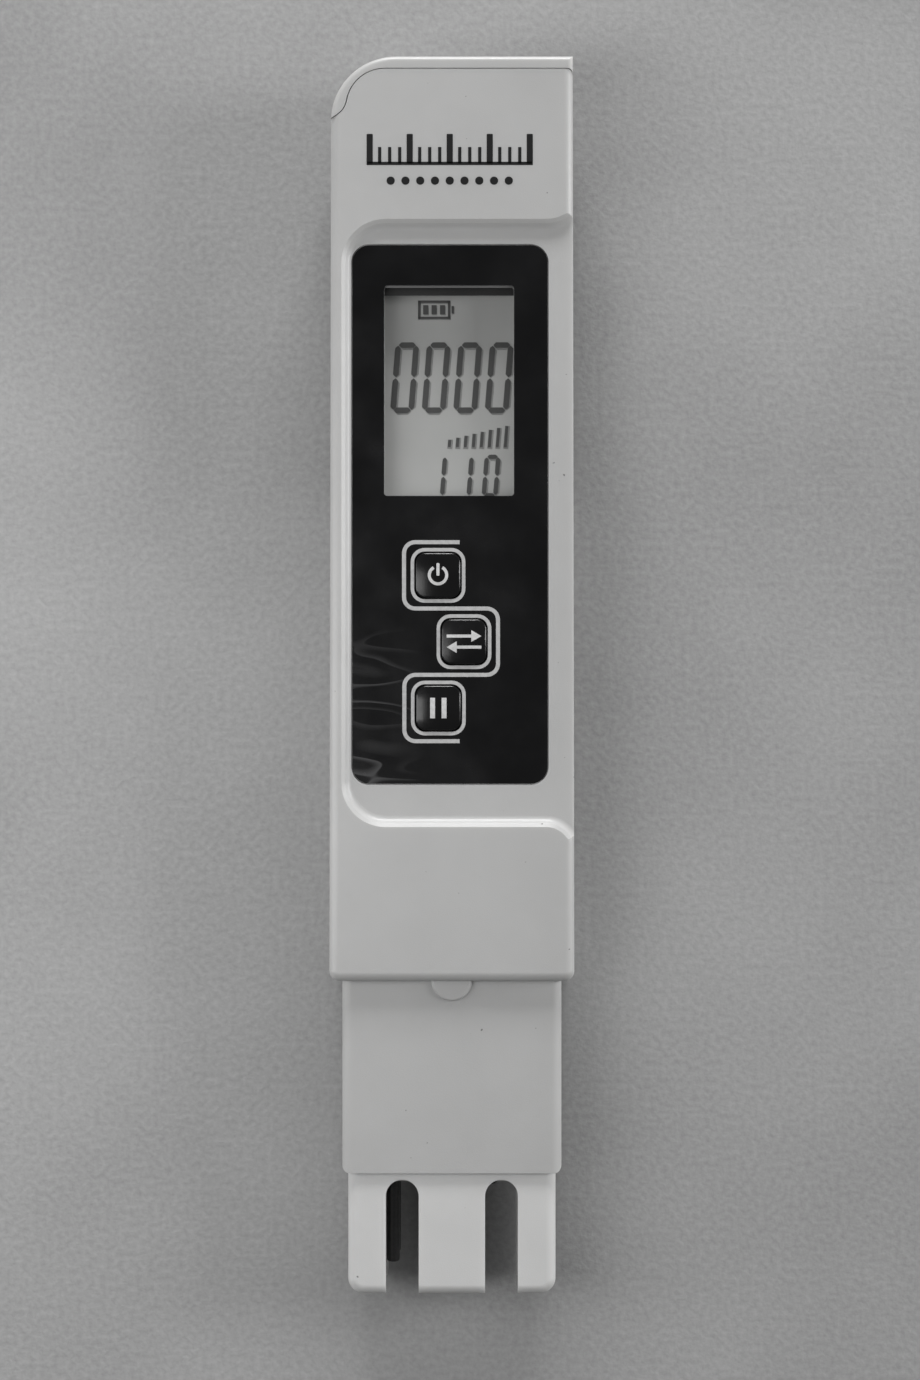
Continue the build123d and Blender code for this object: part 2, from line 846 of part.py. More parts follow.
def pocket_clip():
    """Springy arm behind the housing, with a bump near its tip, hung from the cap."""
    tip_y = cap_top_y - clip_length
    bump_top = back_setback - clip_bump_clearance
    bump_radius = bump_top - clip_thickness
    root_y = cap_top_y - clip_root_length
    gap_radius = (back_setback - parting_gap - clip_thickness) / 2
    wall_y = head_y + parting_gap
    with BuildSketch(Plane.YZ) as view:
        with BuildLine():
            bump_start = (tip_y + 2 * bump_radius, clip_thickness)
            bump_end = (bump_start[0] + 2 * bump_radius, clip_thickness)
            bump_middle = (bump_start[0] + bump_radius, bump_top)
            gap_start = (root_y - gap_radius, clip_thickness)
            gap_middle = (root_y, clip_thickness + gap_radius)
            gap_end = (root_y - gap_radius, back_setback - parting_gap)
            Polyline(gap_end, (wall_y, back_setback - parting_gap), (wall_y, back_setback + wall))
            Polyline((wall_y, back_setback + wall), (cap_top_y, back_setback + wall), (cap_top_y, 0))
            Polyline((cap_top_y, 0), (tip_y, 0), (tip_y, clip_thickness), bump_start)
            ThreePointArc(bump_start, bump_middle, bump_end)
            Line(bump_end, gap_start)
            ThreePointArc(gap_start, gap_middle, gap_end)
        make_face()
        heel = view.vertices().sort_by(lambda v: abs(v.X - cap_top_y) + abs(v.Y))[0]
        fillet(heel, clip_heel_radius)
    arm = extrude(view.sketch, clip_width / 2, both=True)
    tip_edges = arm.edges().filter_by(Axis.Z).group_by(Axis.Y)[0]
    arm = fillet(tip_edges, clip_tip_radius)
    return fillet(edges_at_level(arm, 0, cap_top_y - clip_heel_radius - pick_margin), clip_edge_radius)


def battery_cap():
    """Cap with its wrapped corner, plug and pocket clip, one moulding."""
    return cap_shell() + cap_plug() + pocket_clip()


# Probe end


def detent(level, direction):
    """Half-round bump that the storage cap snaps over, hidden half under the housing's edge."""
    disc = Pos(0, tail_y, level) * Cylinder(detent_radius, 2 * detent_rise)
    return fillet(disc.edges().group_by(Axis.Z)[-1 if direction > 0 else 0], detent_edge_radius)


def probe_sleeve():
    """Flat tube between the housing and the guard."""
    width = sleeve_width
    depth = sleeve_depth
    sleeve = tube_section(width, depth, sleeve_edge_radius, sleeve_tip_y, sleeve_root_y)
    sleeve += detent(middle + depth / 2, 1) & tube_section(width, thickness, 0, sleeve_tip_y, tail_y)
    sleeve += detent(middle - depth / 2, -1) & tube_section(width, thickness, 0, sleeve_tip_y, tail_y)
    sleeve -= tube_section(
        width - 2 * sleeve_wall, depth - 2 * sleeve_wall, 0, sleeve_tip_y - over, sleeve_root_y + over
    )
    length = sleeve_length + sleeve_insertion
    middle_y = (sleeve_tip_y + sleeve_root_y) / 2
    sleeve &= rounded_plate(0, middle_y, width, length, sleeve_corner_radius, 0, thickness)
    front_key, back_key = sleeve_keys(groove_clearance)
    return sleeve - front_key - back_key


def probe_guard():
    """Hollow guard with two slots through front and back, and a spigot into the sleeve."""
    middle_y = (guard_tip_y + sleeve_tip_y) / 2
    guard = Pos(0, middle_y, middle) * Box(guard_width, guard_length, guard_depth)
    tips = guard.edges().filter_by(Axis.Z).group_by(Axis.Y)[0]
    guard = fillet(tips, guard_corner_radius)
    rims = edges_at_level(guard, middle - guard_depth / 2, sleeve_tip_y - 0.1)
    rims += edges_at_level(guard, middle + guard_depth / 2, sleeve_tip_y - 0.1)
    guard = fillet(rims, guard_edge_radius)
    spigot_width = sleeve_width - 2 * sleeve_wall - 2 * spigot_clearance
    spigot_depth = sleeve_depth - 2 * sleeve_wall - 2 * spigot_clearance
    guard += tube_section(spigot_width, spigot_depth, 0, sleeve_tip_y, spigot_end_y)
    guard -= guard_hollow(guard_tip_y - over, spigot_end_y + over, 0)
    slot_top_y = sleeve_tip_y - slot_end_wall
    for side in (-1, 1):
        arc_y = slot_top_y - slot_width / 2
        slot = Pos(side * slot_x, arc_y, middle) * Cylinder(slot_width / 2, thickness)
        run = arc_y - guard_tip_y + over
        slot += block(side * slot_x, arc_y - run / 2, 0, slot_width, run, thickness)
        guard -= slot
    return guard


def guard_hollow(start_y, end_y, clearance):
    """The guard's inside, or a plug that fits it."""
    width = guard_width - 2 * guard_wall - 2 * clearance
    depth = guard_depth - 2 * guard_wall - 2 * clearance
    return tube_section(width, depth, 0, start_y, end_y)


def bar_along_y(x, z, radius, start_y, end_y):
    """A round bar along Y."""
    length = end_y - start_y
    return Pos(x, start_y + length / 2, z) * Rot(90, 0, 0) * Cylinder(radius, length)


def electrode_heights():
    """Height of each electrode, by name."""
    return {
        "front": middle + electrode_spread / 2,
        "rear": middle - electrode_spread / 2,
    }


def electrode(z):
    """Rod that stands in the left slot, rounded at its tip."""
    tip_y = insert_tip_y - electrode_reach
    rod = bar_along_y(electrode_x, z, electrode_radius, tip_y, insert_end_y + electrode_tail)
    return fillet(rod.edges().group_by(Axis.Y)[0], electrode_radius / 3)


def thermistor_bead():
    """Short temperature bead just showing in the right slot."""
    tip_y = insert_tip_y - bead_reach
    bead = bar_along_y(bead_x, middle, bead_radius, tip_y, insert_tip_y + bead_depth)
    return fillet(bead.edges().group_by(Axis.Y)[0], bead_radius / 2)


def wire(start, x_at_board, radius):
    """Insulated lead from the probe, along the sleeve and down onto the board's tail end."""
    x, y, z = start
    landing = board_top + radius
    bend_y = spigot_end_y + wire_straight
    points = [
        (x, y, z),
        (x, spigot_end_y + 1, z),
        (x_at_board, bend_y, landing),
        (x_at_board, board_tail_y + wire_landing_length, landing),
    ]
    path = FilletPolyline(*points, radius=wire_bend_radius)
    section = Plane(points[0], z_dir=(0, 1, 0)) * Circle(radius)
    return sweep(section, path=path)


def electrode_wires():
    """One lead per electrode, by name, side by side on the board."""
    start_y = insert_end_y + electrode_tail
    leads = {}
    for place, (name, z) in enumerate(electrode_heights().items()):
        x = electrode_x + (1 - place) * electrode_wire_spread
        leads[name] = wire((electrode_x, start_y, z), x, electrode_wire_radius)
    return leads


def thermistor_wires():
    """Two thin leads of the temperature bead."""
    start_y = insert_tip_y + bead_depth
    half = bead_radius / 2
    return [
        wire((bead_x + side * half, start_y, middle), bead_x + 2 * side * half, thermistor_wire_radius)
        for side in (-1, 1)
    ]


def probe_insert(passing):
    """Block that closes the guard's root and carries the electrodes and the bead."""
    insert = guard_hollow(insert_tip_y, insert_end_y, insert_clearance)
    for piece in passing:
        insert -= piece
    return insert


def sealing_resin(passing):
    """Resin poured behind the insert, round the leads."""
    resin = guard_hollow(insert_end_y, resin_end_y, 0)
    for piece in passing:
        resin -= piece
    return resin


def all_nodes():
    """Every piece by node name; a list is a group of separate solids."""
    solid = housing_solid()
    hollow = cavity()
    nodes = {
        "front_shell": front_shell(solid, hollow),
        "back_shell": back_shell(solid, hollow),
        "overlay_film": overlay_film(),
        "display_lens": display_lens(),
        "circuit_board": circuit_board(),
        "board_screws": board_screws(),
        "chip_blob": chip_blob(),
        "crystal": crystal(),
        "small_parts": small_parts(),
        "display_connectors": display_connectors(),
        "display_frame": display_frame(),
        "battery_tray": battery_tray(),
        "contact_bridge": contact_bridge(),
        "battery_cap": battery_cap(),
        "probe_sleeve": probe_sleeve(),
        "probe_guard": probe_guard(),
    }
    nodes.update(display_layers())
    for name, x, y in key_centres():
        nodes[name + "_key"] = key_pad(x, y)
        nodes[name + "_plunger"] = switch_plunger(x, y)
        nodes[name + "_switch"] = switch_body(x, y)
    left, right = cell_places()
    nodes["left_cell"] = button_cell(*left, flipped=True)
    nodes["right_cell"] = button_cell(*right, flipped=False)
    nodes["positive_contact"] = cell_contact(left[0])
    nodes["negative_contact"] = cell_contact(right[0])
    passing = []
    for name, z in electrode_heights().items():
        nodes[name + "_electrode"] = electrode(z)
        passing.append(nodes[name + "_electrode"])
    for name, lead in electrode_wires().items():
        nodes[name + "_electrode_wire"] = lead
        passing.append(lead)
    nodes["thermistor_bead"] = thermistor_bead()
    nodes["thermistor_wires"] = thermistor_wires()
    passing.append(nodes["thermistor_bead"])
    passing.extend(nodes["thermistor_wires"])
    nodes["probe_insert"] = probe_insert(passing)
    nodes["sealing_resin"] = sealing_resin(passing)
    return nodes


os.makedirs("parts", exist_ok=True)
for node_name, shape in all_nodes().items():
    if isinstance(shape, list):
        shape = Compound(children=shape)
    export_step(shape, f"parts/{node_name}.step")
    print(node_name, round(shape.volume, 1))
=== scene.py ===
import math

import bpy
from bpy.props import FloatProperty, FloatVectorProperty, PointerProperty
from bpy.types import Operator, Panel, PropertyGroup
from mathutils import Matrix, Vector


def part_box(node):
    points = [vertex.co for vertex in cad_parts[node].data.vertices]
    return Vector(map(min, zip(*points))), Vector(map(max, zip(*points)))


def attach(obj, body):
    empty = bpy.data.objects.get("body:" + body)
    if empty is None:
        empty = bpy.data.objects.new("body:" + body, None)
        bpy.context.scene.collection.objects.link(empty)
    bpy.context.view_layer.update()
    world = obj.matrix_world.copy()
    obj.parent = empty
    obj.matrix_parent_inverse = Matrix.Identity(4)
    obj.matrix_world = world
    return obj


bl_info = {
    "name": "Water Tester Dress",
    "version": (1, 0, 0),
    "blender": (4, 5, 0),
    "location": "View3D > Sidebar > Tester",
    "description": "Finishes, printed marks, display and stage of a pen-shaped water tester",
    "category": "Object",
}

MM = 0.001
SMOOTH_ANGLE = math.radians(35)

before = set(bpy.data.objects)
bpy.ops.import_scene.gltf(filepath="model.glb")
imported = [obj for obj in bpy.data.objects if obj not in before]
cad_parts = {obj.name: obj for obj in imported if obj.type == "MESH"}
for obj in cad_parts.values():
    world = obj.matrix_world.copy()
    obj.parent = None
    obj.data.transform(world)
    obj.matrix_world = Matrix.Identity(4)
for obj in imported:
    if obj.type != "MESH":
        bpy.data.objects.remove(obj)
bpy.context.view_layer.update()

KEY_NODES = ("power_key", "mode_key", "hold_key")
SWITCH_NODES = ("power_switch", "mode_switch", "hold_switch")
PLUNGER_NODES = ("power_plunger", "mode_plunger", "hold_plunger")
FILM_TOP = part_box("overlay_film")[1].z
FIELD_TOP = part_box("front_polarizer")[1].z
SHELL_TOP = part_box("front_shell")[1].z


# Settings that a user would change


def length(name, description, default_mm):
    """A length property, given in millimetres and kept in metres."""
    return FloatProperty(
        name=name, description=description, default=default_mm * MM, unit="LENGTH", precision=5
    )


def colour(name, description, red, green, blue):
    """A colour property with a linear default."""
    return FloatVectorProperty(
        name=name, description=description, default=(red, green, blue), subtype="COLOR", min=0, max=1
    )


class MeterFinish(PropertyGroup):
    """Colours of the meter's materials."""

    white_plastic: colour("White plastic", "Moulded housing, cap, sleeve and guard", 0.5, 0.5, 0.496)
    inner_plastic: colour("Inner plastic", "Tray, display frame and probe insert", 0.5, 0.5, 0.49)
    black_film: colour("Black film", "Printed front film and keys", 0.0035, 0.0035, 0.0038)
    ink: colour("Light ink", "Lines and symbols on the front film", 0.5, 0.5, 0.5)
    dark_ink: colour("Dark ink", "Tick scale on the housing", 0.005, 0.005, 0.0055)
    display_field: colour("Display field", "Display behind the window", 0.47, 0.475, 0.465)
    display_mark: colour("Display mark", "Digits and icons of the display", 0.055, 0.056, 0.055)


class MeterPrint(PropertyGroup):
    """Sizes of the printed marks and of the display's digits."""

    ink_height: length("Ink height", "Thickness of printed ink", 0.02)
    ring_width: length("Ring width", "Outside width of the square ring round a key", 6.7)
    ring_line: length("Ring line", "Line width of the ring round a key", 0.43)
    ring_radius: length("Ring radius", "Corner radius of the ring round a key", 1.7)
    track_line: length("Track line", "Line width of the winding track round the keys", 0.49)
    track_radius: length("Track radius", "Corner radius of the winding track", 1.6)
    track_margin: length("Track margin", "From a key's centre to the track beside it", 4.16)
    symbol_height: length("Symbol height", "Height of the symbols on the keys", 2.5)
    digit_height: length("Digit height", "Height of the large digits", 8.74)
    digit_width: length("Digit width", "Width of the large digits without their slant", 2.92)
    digit_pitch: length("Digit pitch", "Distance between the large digits", 3.9)
    digit_stroke: length("Digit stroke", "Stroke width of the large digits", 0.68)


class MeterStage(PropertyGroup):
    """Camera and floor."""

    camera_height: length("Camera height", "Camera above the floor", 261.7)
    camera_x: length("Camera x", "Camera beside the meter's middle line", 1.0)
    camera_y: length("Camera y", "Camera along the meter", -1.5)
    floor: colour("Floor", "Plain paper under the meter", 0.37, 0.37, 0.37)


# Fixed values of the materials

# Nodes are set out in rows in the node editor
NODE_COLUMNS = 6
NODE_WIDTH = 230
NODE_HEIGHT = 330

# Colour sockets of a Mix node, by place because other sockets have the same names
MIX_FIRST = 6
MIX_SECOND = 7
MIX_RESULT = 2

# Range that holds most of a noise pattern's values
PATTERN_LOW = 0.3
PATTERN_HIGH = 0.7

# Light that spreads inside the white plastic
GLOW_WEIGHT = 0.35
GLOW_BY_COLOUR = (1.0, 0.95, 0.9)
GLOW_DEPTH = 2.0 * MM

# Rare dark specks in the plastic
SPECK_START = 0.80
SPECK_END = 0.84
SPECK_TINT = 0.35

# Painted highlights on folds in the clear skin at the film's lower left: full at the first place, gone at the
# second
CREASE_ACROSS = (-9.0 * MM, -3.5 * MM)
CREASE_ALONG = (-2.0 * MM, 6.5 * MM)
CREASE_TURN = math.radians(24)
CREASE_STRETCH = (0.5, 1.5, 1)
CREASE_NONE = (0, 0, 0)
# Painted highlight tones of the crease streaks
CREASE_GLINT_PALE = (0.06, 0.06, 0.061)
CREASE_GLINT_DIM = (0.02, 0.02, 0.02)
CREASE_GLINT_STOPS = (
    (0.44, CREASE_NONE),
    (0.476, CREASE_GLINT_PALE),
    (0.482, CREASE_NONE),
    (0.55, CREASE_NONE),
    (0.6, CREASE_GLINT_DIM),
    (0.606, CREASE_NONE),
)

# Direction of the wiped scratches, and how far they and the rolled lines are drawn out
SCRATCH_TURN = math.radians(28)
SCRATCH_STRETCH = (1, 0.03, 1)
ROLLED_STRETCH = (1, 0.05, 1)


# Material recipes


def node(tree, kind, **inputs):
    """Adds one shader node and sets its inputs by name, with underscores for spaces."""
    made = tree.nodes.new(kind)
    row, column = divmod(len(tree.nodes), NODE_COLUMNS)
    made.location = ((column - NODE_COLUMNS) * NODE_WIDTH, -row * NODE_HEIGHT)
    for name, value in inputs.items():
        made.inputs[name.replace("_", " ")].default_value = value
    return made


def start_material(name, shade, roughness):
    """A node material with its shader, and the object coordinates that its patterns read."""
    material = bpy.data.materials.new(name)
    material.use_nodes = True
    material.diffuse_color = (*shade, 1)
    tree = material.node_tree
    shader = tree.nodes["Principled BSDF"]
    shader.inputs["Base Color"].default_value = (*shade, 1)
    shader.inputs["Roughness"].default_value = roughness
    place = node(tree, "ShaderNodeTexCoord")
    return material, tree, shader, place.outputs["Object"]


def noise(tree, coordinates, scale, detail, offset):
    """Noise at a scale given per metre, shifted so that two materials don't share a pattern."""
    shift = node(tree, "ShaderNodeMapping", Location=(offset, 0.7 * offset, -offset))
    tree.links.new(coordinates, shift.inputs["Vector"])
    made = node(tree, "ShaderNodeTexNoise", Scale=scale, Detail=detail)
    tree.links.new(shift.outputs["Vector"], made.inputs["Vector"])
    return made.outputs["Fac"]


def drawn_out(tree, coordinates, stretch, turn=0.0):
    """Coordinates turned about Z and stretched, for a pattern with a direction."""
    made = node(tree, "ShaderNodeMapping", Rotation=(0, 0, turn), Scale=stretch)
    tree.links.new(coordinates, made.inputs["Vector"])
    return made.outputs["Vector"]


def ramp(tree, factor, stops):
    """A colour ramp through the given (position, colour) stops."""
    made = node(tree, "ShaderNodeValToRGB")
    elements = made.color_ramp.elements
    while len(elements) < len(stops):
        elements.new(0.5)
    for element, (position, shade) in zip(elements, stops):
        element.position = position
        element.color = (*shade, 1)
    tree.links.new(factor, made.inputs["Fac"])
    return made.outputs["Color"]


def spread(tree, factor, low, high, start=PATTERN_LOW, end=PATTERN_HIGH):
    """Maps a range of a pattern's values to another range."""
    made = node(tree, "ShaderNodeMapRange", From_Min=start, From_Max=end, To_Min=low, To_Max=high)
    tree.links.new(factor, made.inputs["Value"])
    return made.outputs["Result"]


def combined(tree, operation, first, second):
    """Two values added or multiplied."""
    made = node(tree, "ShaderNodeMath")
    made.operation = operation
    tree.links.new(first, made.inputs[0])
    tree.links.new(second, made.inputs[1])
    return made.outputs["Value"]


def mixed(tree, blend, factor, first):
    """A Mix node on a first colour; the caller gives the second colour."""
    made = node(tree, "ShaderNodeMix")
    made.data_type = "RGBA"
    made.blend_type = blend
    tree.links.new(factor, made.inputs["Factor"])
    tree.links.new(first, made.inputs[MIX_FIRST])
    return made


def bump(tree, shader, height, depth):
    """Fine relief of a given depth in metres."""
    made = node(tree, "ShaderNodeBump", Strength=1.0, Distance=depth)
    tree.links.new(height, made.inputs["Height"])
    tree.links.new(made.outputs["Normal"], shader.inputs["Normal"])


def tinted(shade, factor):
    """A shade made lighter or darker."""
    return tuple(min(1.0, channel * factor) for channel in shade)


def mottled(tree, factor, shade, dark, light):
    """A pattern's tone, between the shade times dark and the shade times light."""
    return ramp(tree, factor, ((PATTERN_LOW, tinted(shade, dark)), (PATTERN_HIGH, tinted(shade, light))))


def moulded_plastic(name, shade, roughness, offset, contrast=0.03):
    """Moulded plastic: soft glow, faint cloudy tone, fine spark-eroded grain, rare dark specks."""
    material, tree, shader, place = start_material(name, shade, roughness)
    shader.inputs["Subsurface Weight"].default_value = GLOW_WEIGHT
    shader.inputs["Subsurface Radius"].default_value = GLOW_BY_COLOUR
    shader.inputs["Subsurface Scale"].default_value = GLOW_DEPTH
    clouds = noise(tree, place, scale=90, detail=3, offset=offset)
    tone = mottled(tree, clouds, shade, dark=1 - contrast, light=1 + contrast)
    specks = noise(tree, place, scale=1500, detail=1, offset=offset + 0.5)
    rare = spread(tree, specks, low=0, high=1, start=SPECK_START, end=SPECK_END)
    speckled = mixed(tree, "MIX", rare, tone)
    speckled.inputs[MIX_SECOND].default_value = (*tinted(shade, SPECK_TINT), 1)
    tree.links.new(speckled.outputs[MIX_RESULT], shader.inputs["Base Color"])
    grain = noise(tree, place, scale=7000, detail=2, offset=offset)
    sheen = spread(tree, grain, low=roughness - 0.05, high=roughness + 0.07)
    tree.links.new(sheen, shader.inputs["Roughness"])
    bump(tree, shader, grain, depth=0.000012)
    return material


def corner_mask(tree, place):
    """One in the film's lower left corner and zero away from it."""
    parts = node(tree, "ShaderNodeSeparateXYZ")
    tree.links.new(place, parts.inputs["Vector"])
    across = spread(tree, parts.outputs["X"], 1, 0, *CREASE_ACROSS)
    along = spread(tree, parts.outputs["Y"], 1, 0, *CREASE_ALONG)
    return combined(tree, "MULTIPLY", across, along)


def add_crease_glints(tree, place, tone):
    """Painted highlights: pale curved streaks added to the colour where the creased, lifted clear skin
    catches light.
    """
    slanted = drawn_out(tree, place, CREASE_STRETCH, CREASE_TURN)
    folds = noise(tree, slanted, scale=130, detail=1, offset=0.41)
    glint_streaks = ramp(tree, folds, CREASE_GLINT_STOPS)
    added = mixed(tree, "ADD", corner_mask(tree, place), tone)
    tree.links.new(glint_streaks, added.inputs[MIX_SECOND])
    return added.outputs[MIX_RESULT]


def gloss_film(name, shade, offset, crease_glints=False):
    """Black printed film: deep gloss with wiped smears and very fine scratches."""
    material, tree, shader, place = start_material(name, shade, roughness=0.2)
    smears = noise(tree, place, scale=130, detail=4, offset=offset)
    tone = ramp(tree, smears, ((0.35, shade), (0.75, tinted(shade, 1.6))))
    # Painted highlights of the creases are added to the film's colour
    if crease_glints:
        tone = add_crease_glints(tree, place, tone)
    tree.links.new(tone, shader.inputs["Base Color"])
    tree.links.new(spread(tree, smears, low=0.14, high=0.3), shader.inputs["Roughness"])
    wiped = drawn_out(tree, place, SCRATCH_STRETCH, SCRATCH_TURN)
    scratches = noise(tree, wiped, scale=5200, detail=2, offset=offset)
    bump(tree, shader, scratches, depth=0.000002)
    return material


def clear_window(name, shade):
    """Thin clear plastic: see-through with a faint haze and a smooth gloss."""
    material, tree, shader, place = start_material(name, shade, roughness=0.08)
    haze = noise(tree, place, scale=260, detail=3, offset=0.2)
    tree.links.new(spread(tree, haze, low=0.05, high=0.12), shader.inputs["Roughness"])
    tree.links.new(spread(tree, haze, low=0.03, high=0.06), shader.inputs["Alpha"])
    return material


def printed_ink(name, shade, offset):
    """Screen-printed ink with slightly uneven cover."""
    material, tree, shader, place = start_material(name, shade, roughness=0.45)
    cover = noise(tree, place, scale=2200, detail=3, offset=offset)
    tree.links.new(mottled(tree, cover, shade, dark=0.86, light=1.06), shader.inputs["Base Color"])
    bump(tree, shader, cover, depth=0.000004)
    return material


def display_layer(name, shade, offset, contrast=0.05):
    """Grey reflective display layer with a soft cloudy tone and a fine sparkle."""
    material, tree, shader, place = start_material(name, shade, roughness=0.42)
    clouds = noise(tree, place, scale=70, detail=2, offset=offset)
    tone = mottled(tree, clouds, shade, dark=1 - contrast, light=1 + contrast)
    tree.links.new(tone, shader.inputs["Base Color"])
    sparkle = noise(tree, place, scale=12000, detail=1, offset=offset)
    tree.links.new(spread(tree, sparkle, low=0.36, high=0.5), shader.inputs["Roughness"])
    bump(tree, shader, sparkle, depth=0.000003)
    return material


def mark_shadow(name, shade, offset):
    """Soft shadow that a display's marks throw on the layer behind them."""
    material, tree, shader, place = start_material(name, shade, roughness=0.5)
    clouds = noise(tree, place, scale=900, detail=2, offset=offset)
    tree.links.new(spread(tree, clouds, low=0.12, high=0.18), shader.inputs["Alpha"])
    return material


def worked_metal(name, shade, roughness, offset):
    """Rolled metal with lines along its length."""
    material, tree, shader, place = start_material(name, shade, roughness)
    shader.inputs["Metallic"].default_value = 1.0
    rolled = drawn_out(tree, place, ROLLED_STRETCH)
    lines = noise(tree, rolled, scale=6000, detail=3, offset=offset)
    tree.links.new(mottled(tree, lines, shade, dark=0.85, light=1.1), shader.inputs["Base Color"])
    sheen = spread(tree, lines, low=roughness - 0.08, high=roughness + 0.1)
    tree.links.new(sheen, shader.inputs["Roughness"])
    bump(tree, shader, lines, depth=0.000004)
    return material


def soft_or_cast(name, shade, roughness, scale, offset, contrast=0.15):
    """Rubber, cast resin, carbon or small moulded bodies: mottled tone with a matching grain."""
    material, tree, shader, place = start_material(name, shade, roughness)
    mottle = noise(tree, place, scale, detail=4, offset=offset)
    tone = mottled(tree, mottle, shade, dark=1 - contrast, light=1 + contrast)
    tree.links.new(tone, shader.inputs["Base Color"])
    sheen = spread(tree, mottle, low=roughness - 0.06, high=roughness + 0.08)
    tree.links.new(sheen, shader.inputs["Roughness"])
    bump(tree, shader, mottle, depth=0.00001)
    return material


def paper(name, shade):
    """Plain paper: cloudy tone, short fibres and a soft tooth."""
    material, tree, shader, place = start_material(name, shade, roughness=0.85)
    clouds = noise(tree, place, scale=22, detail=4, offset=0.3)
    fibres = noise(tree, place, scale=1300, detail=3, offset=0.1)
    both = combined(tree, "ADD", spread(tree, clouds, low=-0.25, high=0.25), fibres)
    tone = ramp(tree, both, ((0.15, tinted(shade, 0.84)), (0.85, tinted(shade, 1.16))))
    tree.links.new(tone, shader.inputs["Base Color"])
    bump(tree, shader, fibres, depth=0.00006)
    return material


# Modelling helpers


def leave_edit():
    """Goes back to object mode."""
    bpy.ops.object.mode_set(mode="OBJECT")


def deselect():
    """Leaves edit mode and clears the selection."""
    if bpy.context.object and bpy.context.object.mode != "OBJECT":
        leave_edit()
    bpy.ops.object.select_all(action="DESELECT")


def choose(*objects):
    """Selects these objects alone, with the first one active."""
    deselect()
    for item in objects:
        item.select_set(True)
    bpy.context.view_layer.objects.active = objects[0]


def edit_all():
    """Enters edit mode with the whole mesh selected."""
    bpy.ops.object.mode_set(mode="EDIT")
    bpy.ops.mesh.select_all(action="SELECT")


def keep_place():
    """Puts the active object's place, turn and size into its mesh."""
    bpy.ops.object.transform_apply(location=True, rotation=True, scale=True)


def raise_flat(height):
    """Gives the active flat mesh its thickness, upwards, and turns its faces outwards."""
    edit_all()
    bpy.ops.mesh.extrude_region_move(TRANSFORM_OT_translate={"value": (0, 0, height)})
    bpy.ops.mesh.select_all(action="SELECT")
    bpy.ops.mesh.normals_make_consistent(inside=False)
    leave_edit()


def flat_plate(name, x, y, z, width, height, angle=0.0, corner=0.0, segments=1):
    """A flat face of a given size, turned about Z, with its corners cut or rounded."""
    deselect()
    bpy.ops.mesh.primitive_plane_add(size=1, location=(x, y, z), rotation=(0, 0, angle))
    made = bpy.context.object
    made.name = name
    made.scale = (width, height, 1)
    keep_place()
    if corner > 0:
        edit_all()
        bpy.ops.mesh.bevel(offset=corner, segments=segments, affect="VERTICES")
        leave_edit()
    return made


def flat_disc(x, y, z, radius, vertices, turn=0.0):
    """A flat round or many-sided face."""
    deselect()
    bpy.ops.mesh.primitive_circle_add(
        vertices=vertices, radius=radius, fill_type="NGON", location=(x, y, z), rotation=(0, 0, turn)
    )
    keep_place()
    return bpy.context.object


def hollow_out(line):
    """Turns the active face into a frame of one line width."""
    edit_all()
    bpy.ops.mesh.inset(thickness=line)
    bpy.ops.mesh.delete(type="FACE")
    leave_edit()


def cut_off(x, keep_left):
    """Cuts the active mesh along a line of constant x and keeps one side."""
    edit_all()
    bpy.ops.mesh.bisect(
        plane_co=(x, 0, 0), plane_no=(1, 0, 0), clear_outer=keep_left, clear_inner=not keep_left
    )
    leave_edit()


def divide(cuts):
    """Divides the active mesh evenly, so that it can follow a curved surface."""
    edit_all()
    bpy.ops.mesh.subdivide(number_cuts=cuts)
    leave_edit()


def joined(name, parts):
    """Several meshes as one piece."""
    choose(*parts)
    if len(parts) > 1:
        bpy.ops.object.join()
    made = bpy.context.object
    made.name = name
    made.data.name = name
    return made


def finish_piece(made, body, material):
    """Material, soft shading and body of a finished piece."""
    choose(made)
    made.data.materials.clear()
    made.data.materials.append(material)
    bpy.ops.object.shade_smooth_by_angle(angle=SMOOTH_ANGLE)
    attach(made, body)


def centre_of(name):
    """Middle of a CAD node's box."""
    low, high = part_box(name)
    return (low + high) / 2


# Finishes of the CAD nodes

# Tones of the other white mouldings against the housing's
CAP_TINT = 1.01
SLEEVE_TINT = 0.98
GUARD_TINT = 1.3

# Linear colours of what has no setting of its own
WINDOW_CLEAR = (0.2, 0.2, 0.2)
DISPLAY_GLASS = (0.5, 0.53, 0.51)
BOARD_GREEN = (0.03, 0.16, 0.07)
CHIP_BLACK = (0.02, 0.02, 0.02)
SMALL_PART_BROWN = (0.25, 0.2, 0.15)
STRIP_BLACK = (0.06, 0.06, 0.06)
SWITCH_BLACK = (0.05, 0.05, 0.05)
PLUNGER_BLACK = (0.06, 0.06, 0.06)
CELL_GREY = (0.62, 0.62, 0.62)
CONTACT_GREY = (0.6, 0.59, 0.56)
SCREW_GREY = (0.5, 0.5, 0.5)
CARBON_BLACK = (0.02, 0.02, 0.02)
BEAD_BLACK = (0.02, 0.02, 0.02)
SHEATH_RED = (0.5, 0.03, 0.03)
SHEATH_BLACK = (0.03, 0.03, 0.03)
SHEATH_PALE = (0.7, 0.7, 0.68)
RESIN_GREY = (0.1, 0.1, 0.1)


def dress(material, *names):
    """Puts one material on the named CAD nodes."""
    for name in names:
        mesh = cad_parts[name].data
        mesh.materials.clear()
        mesh.materials.append(material)


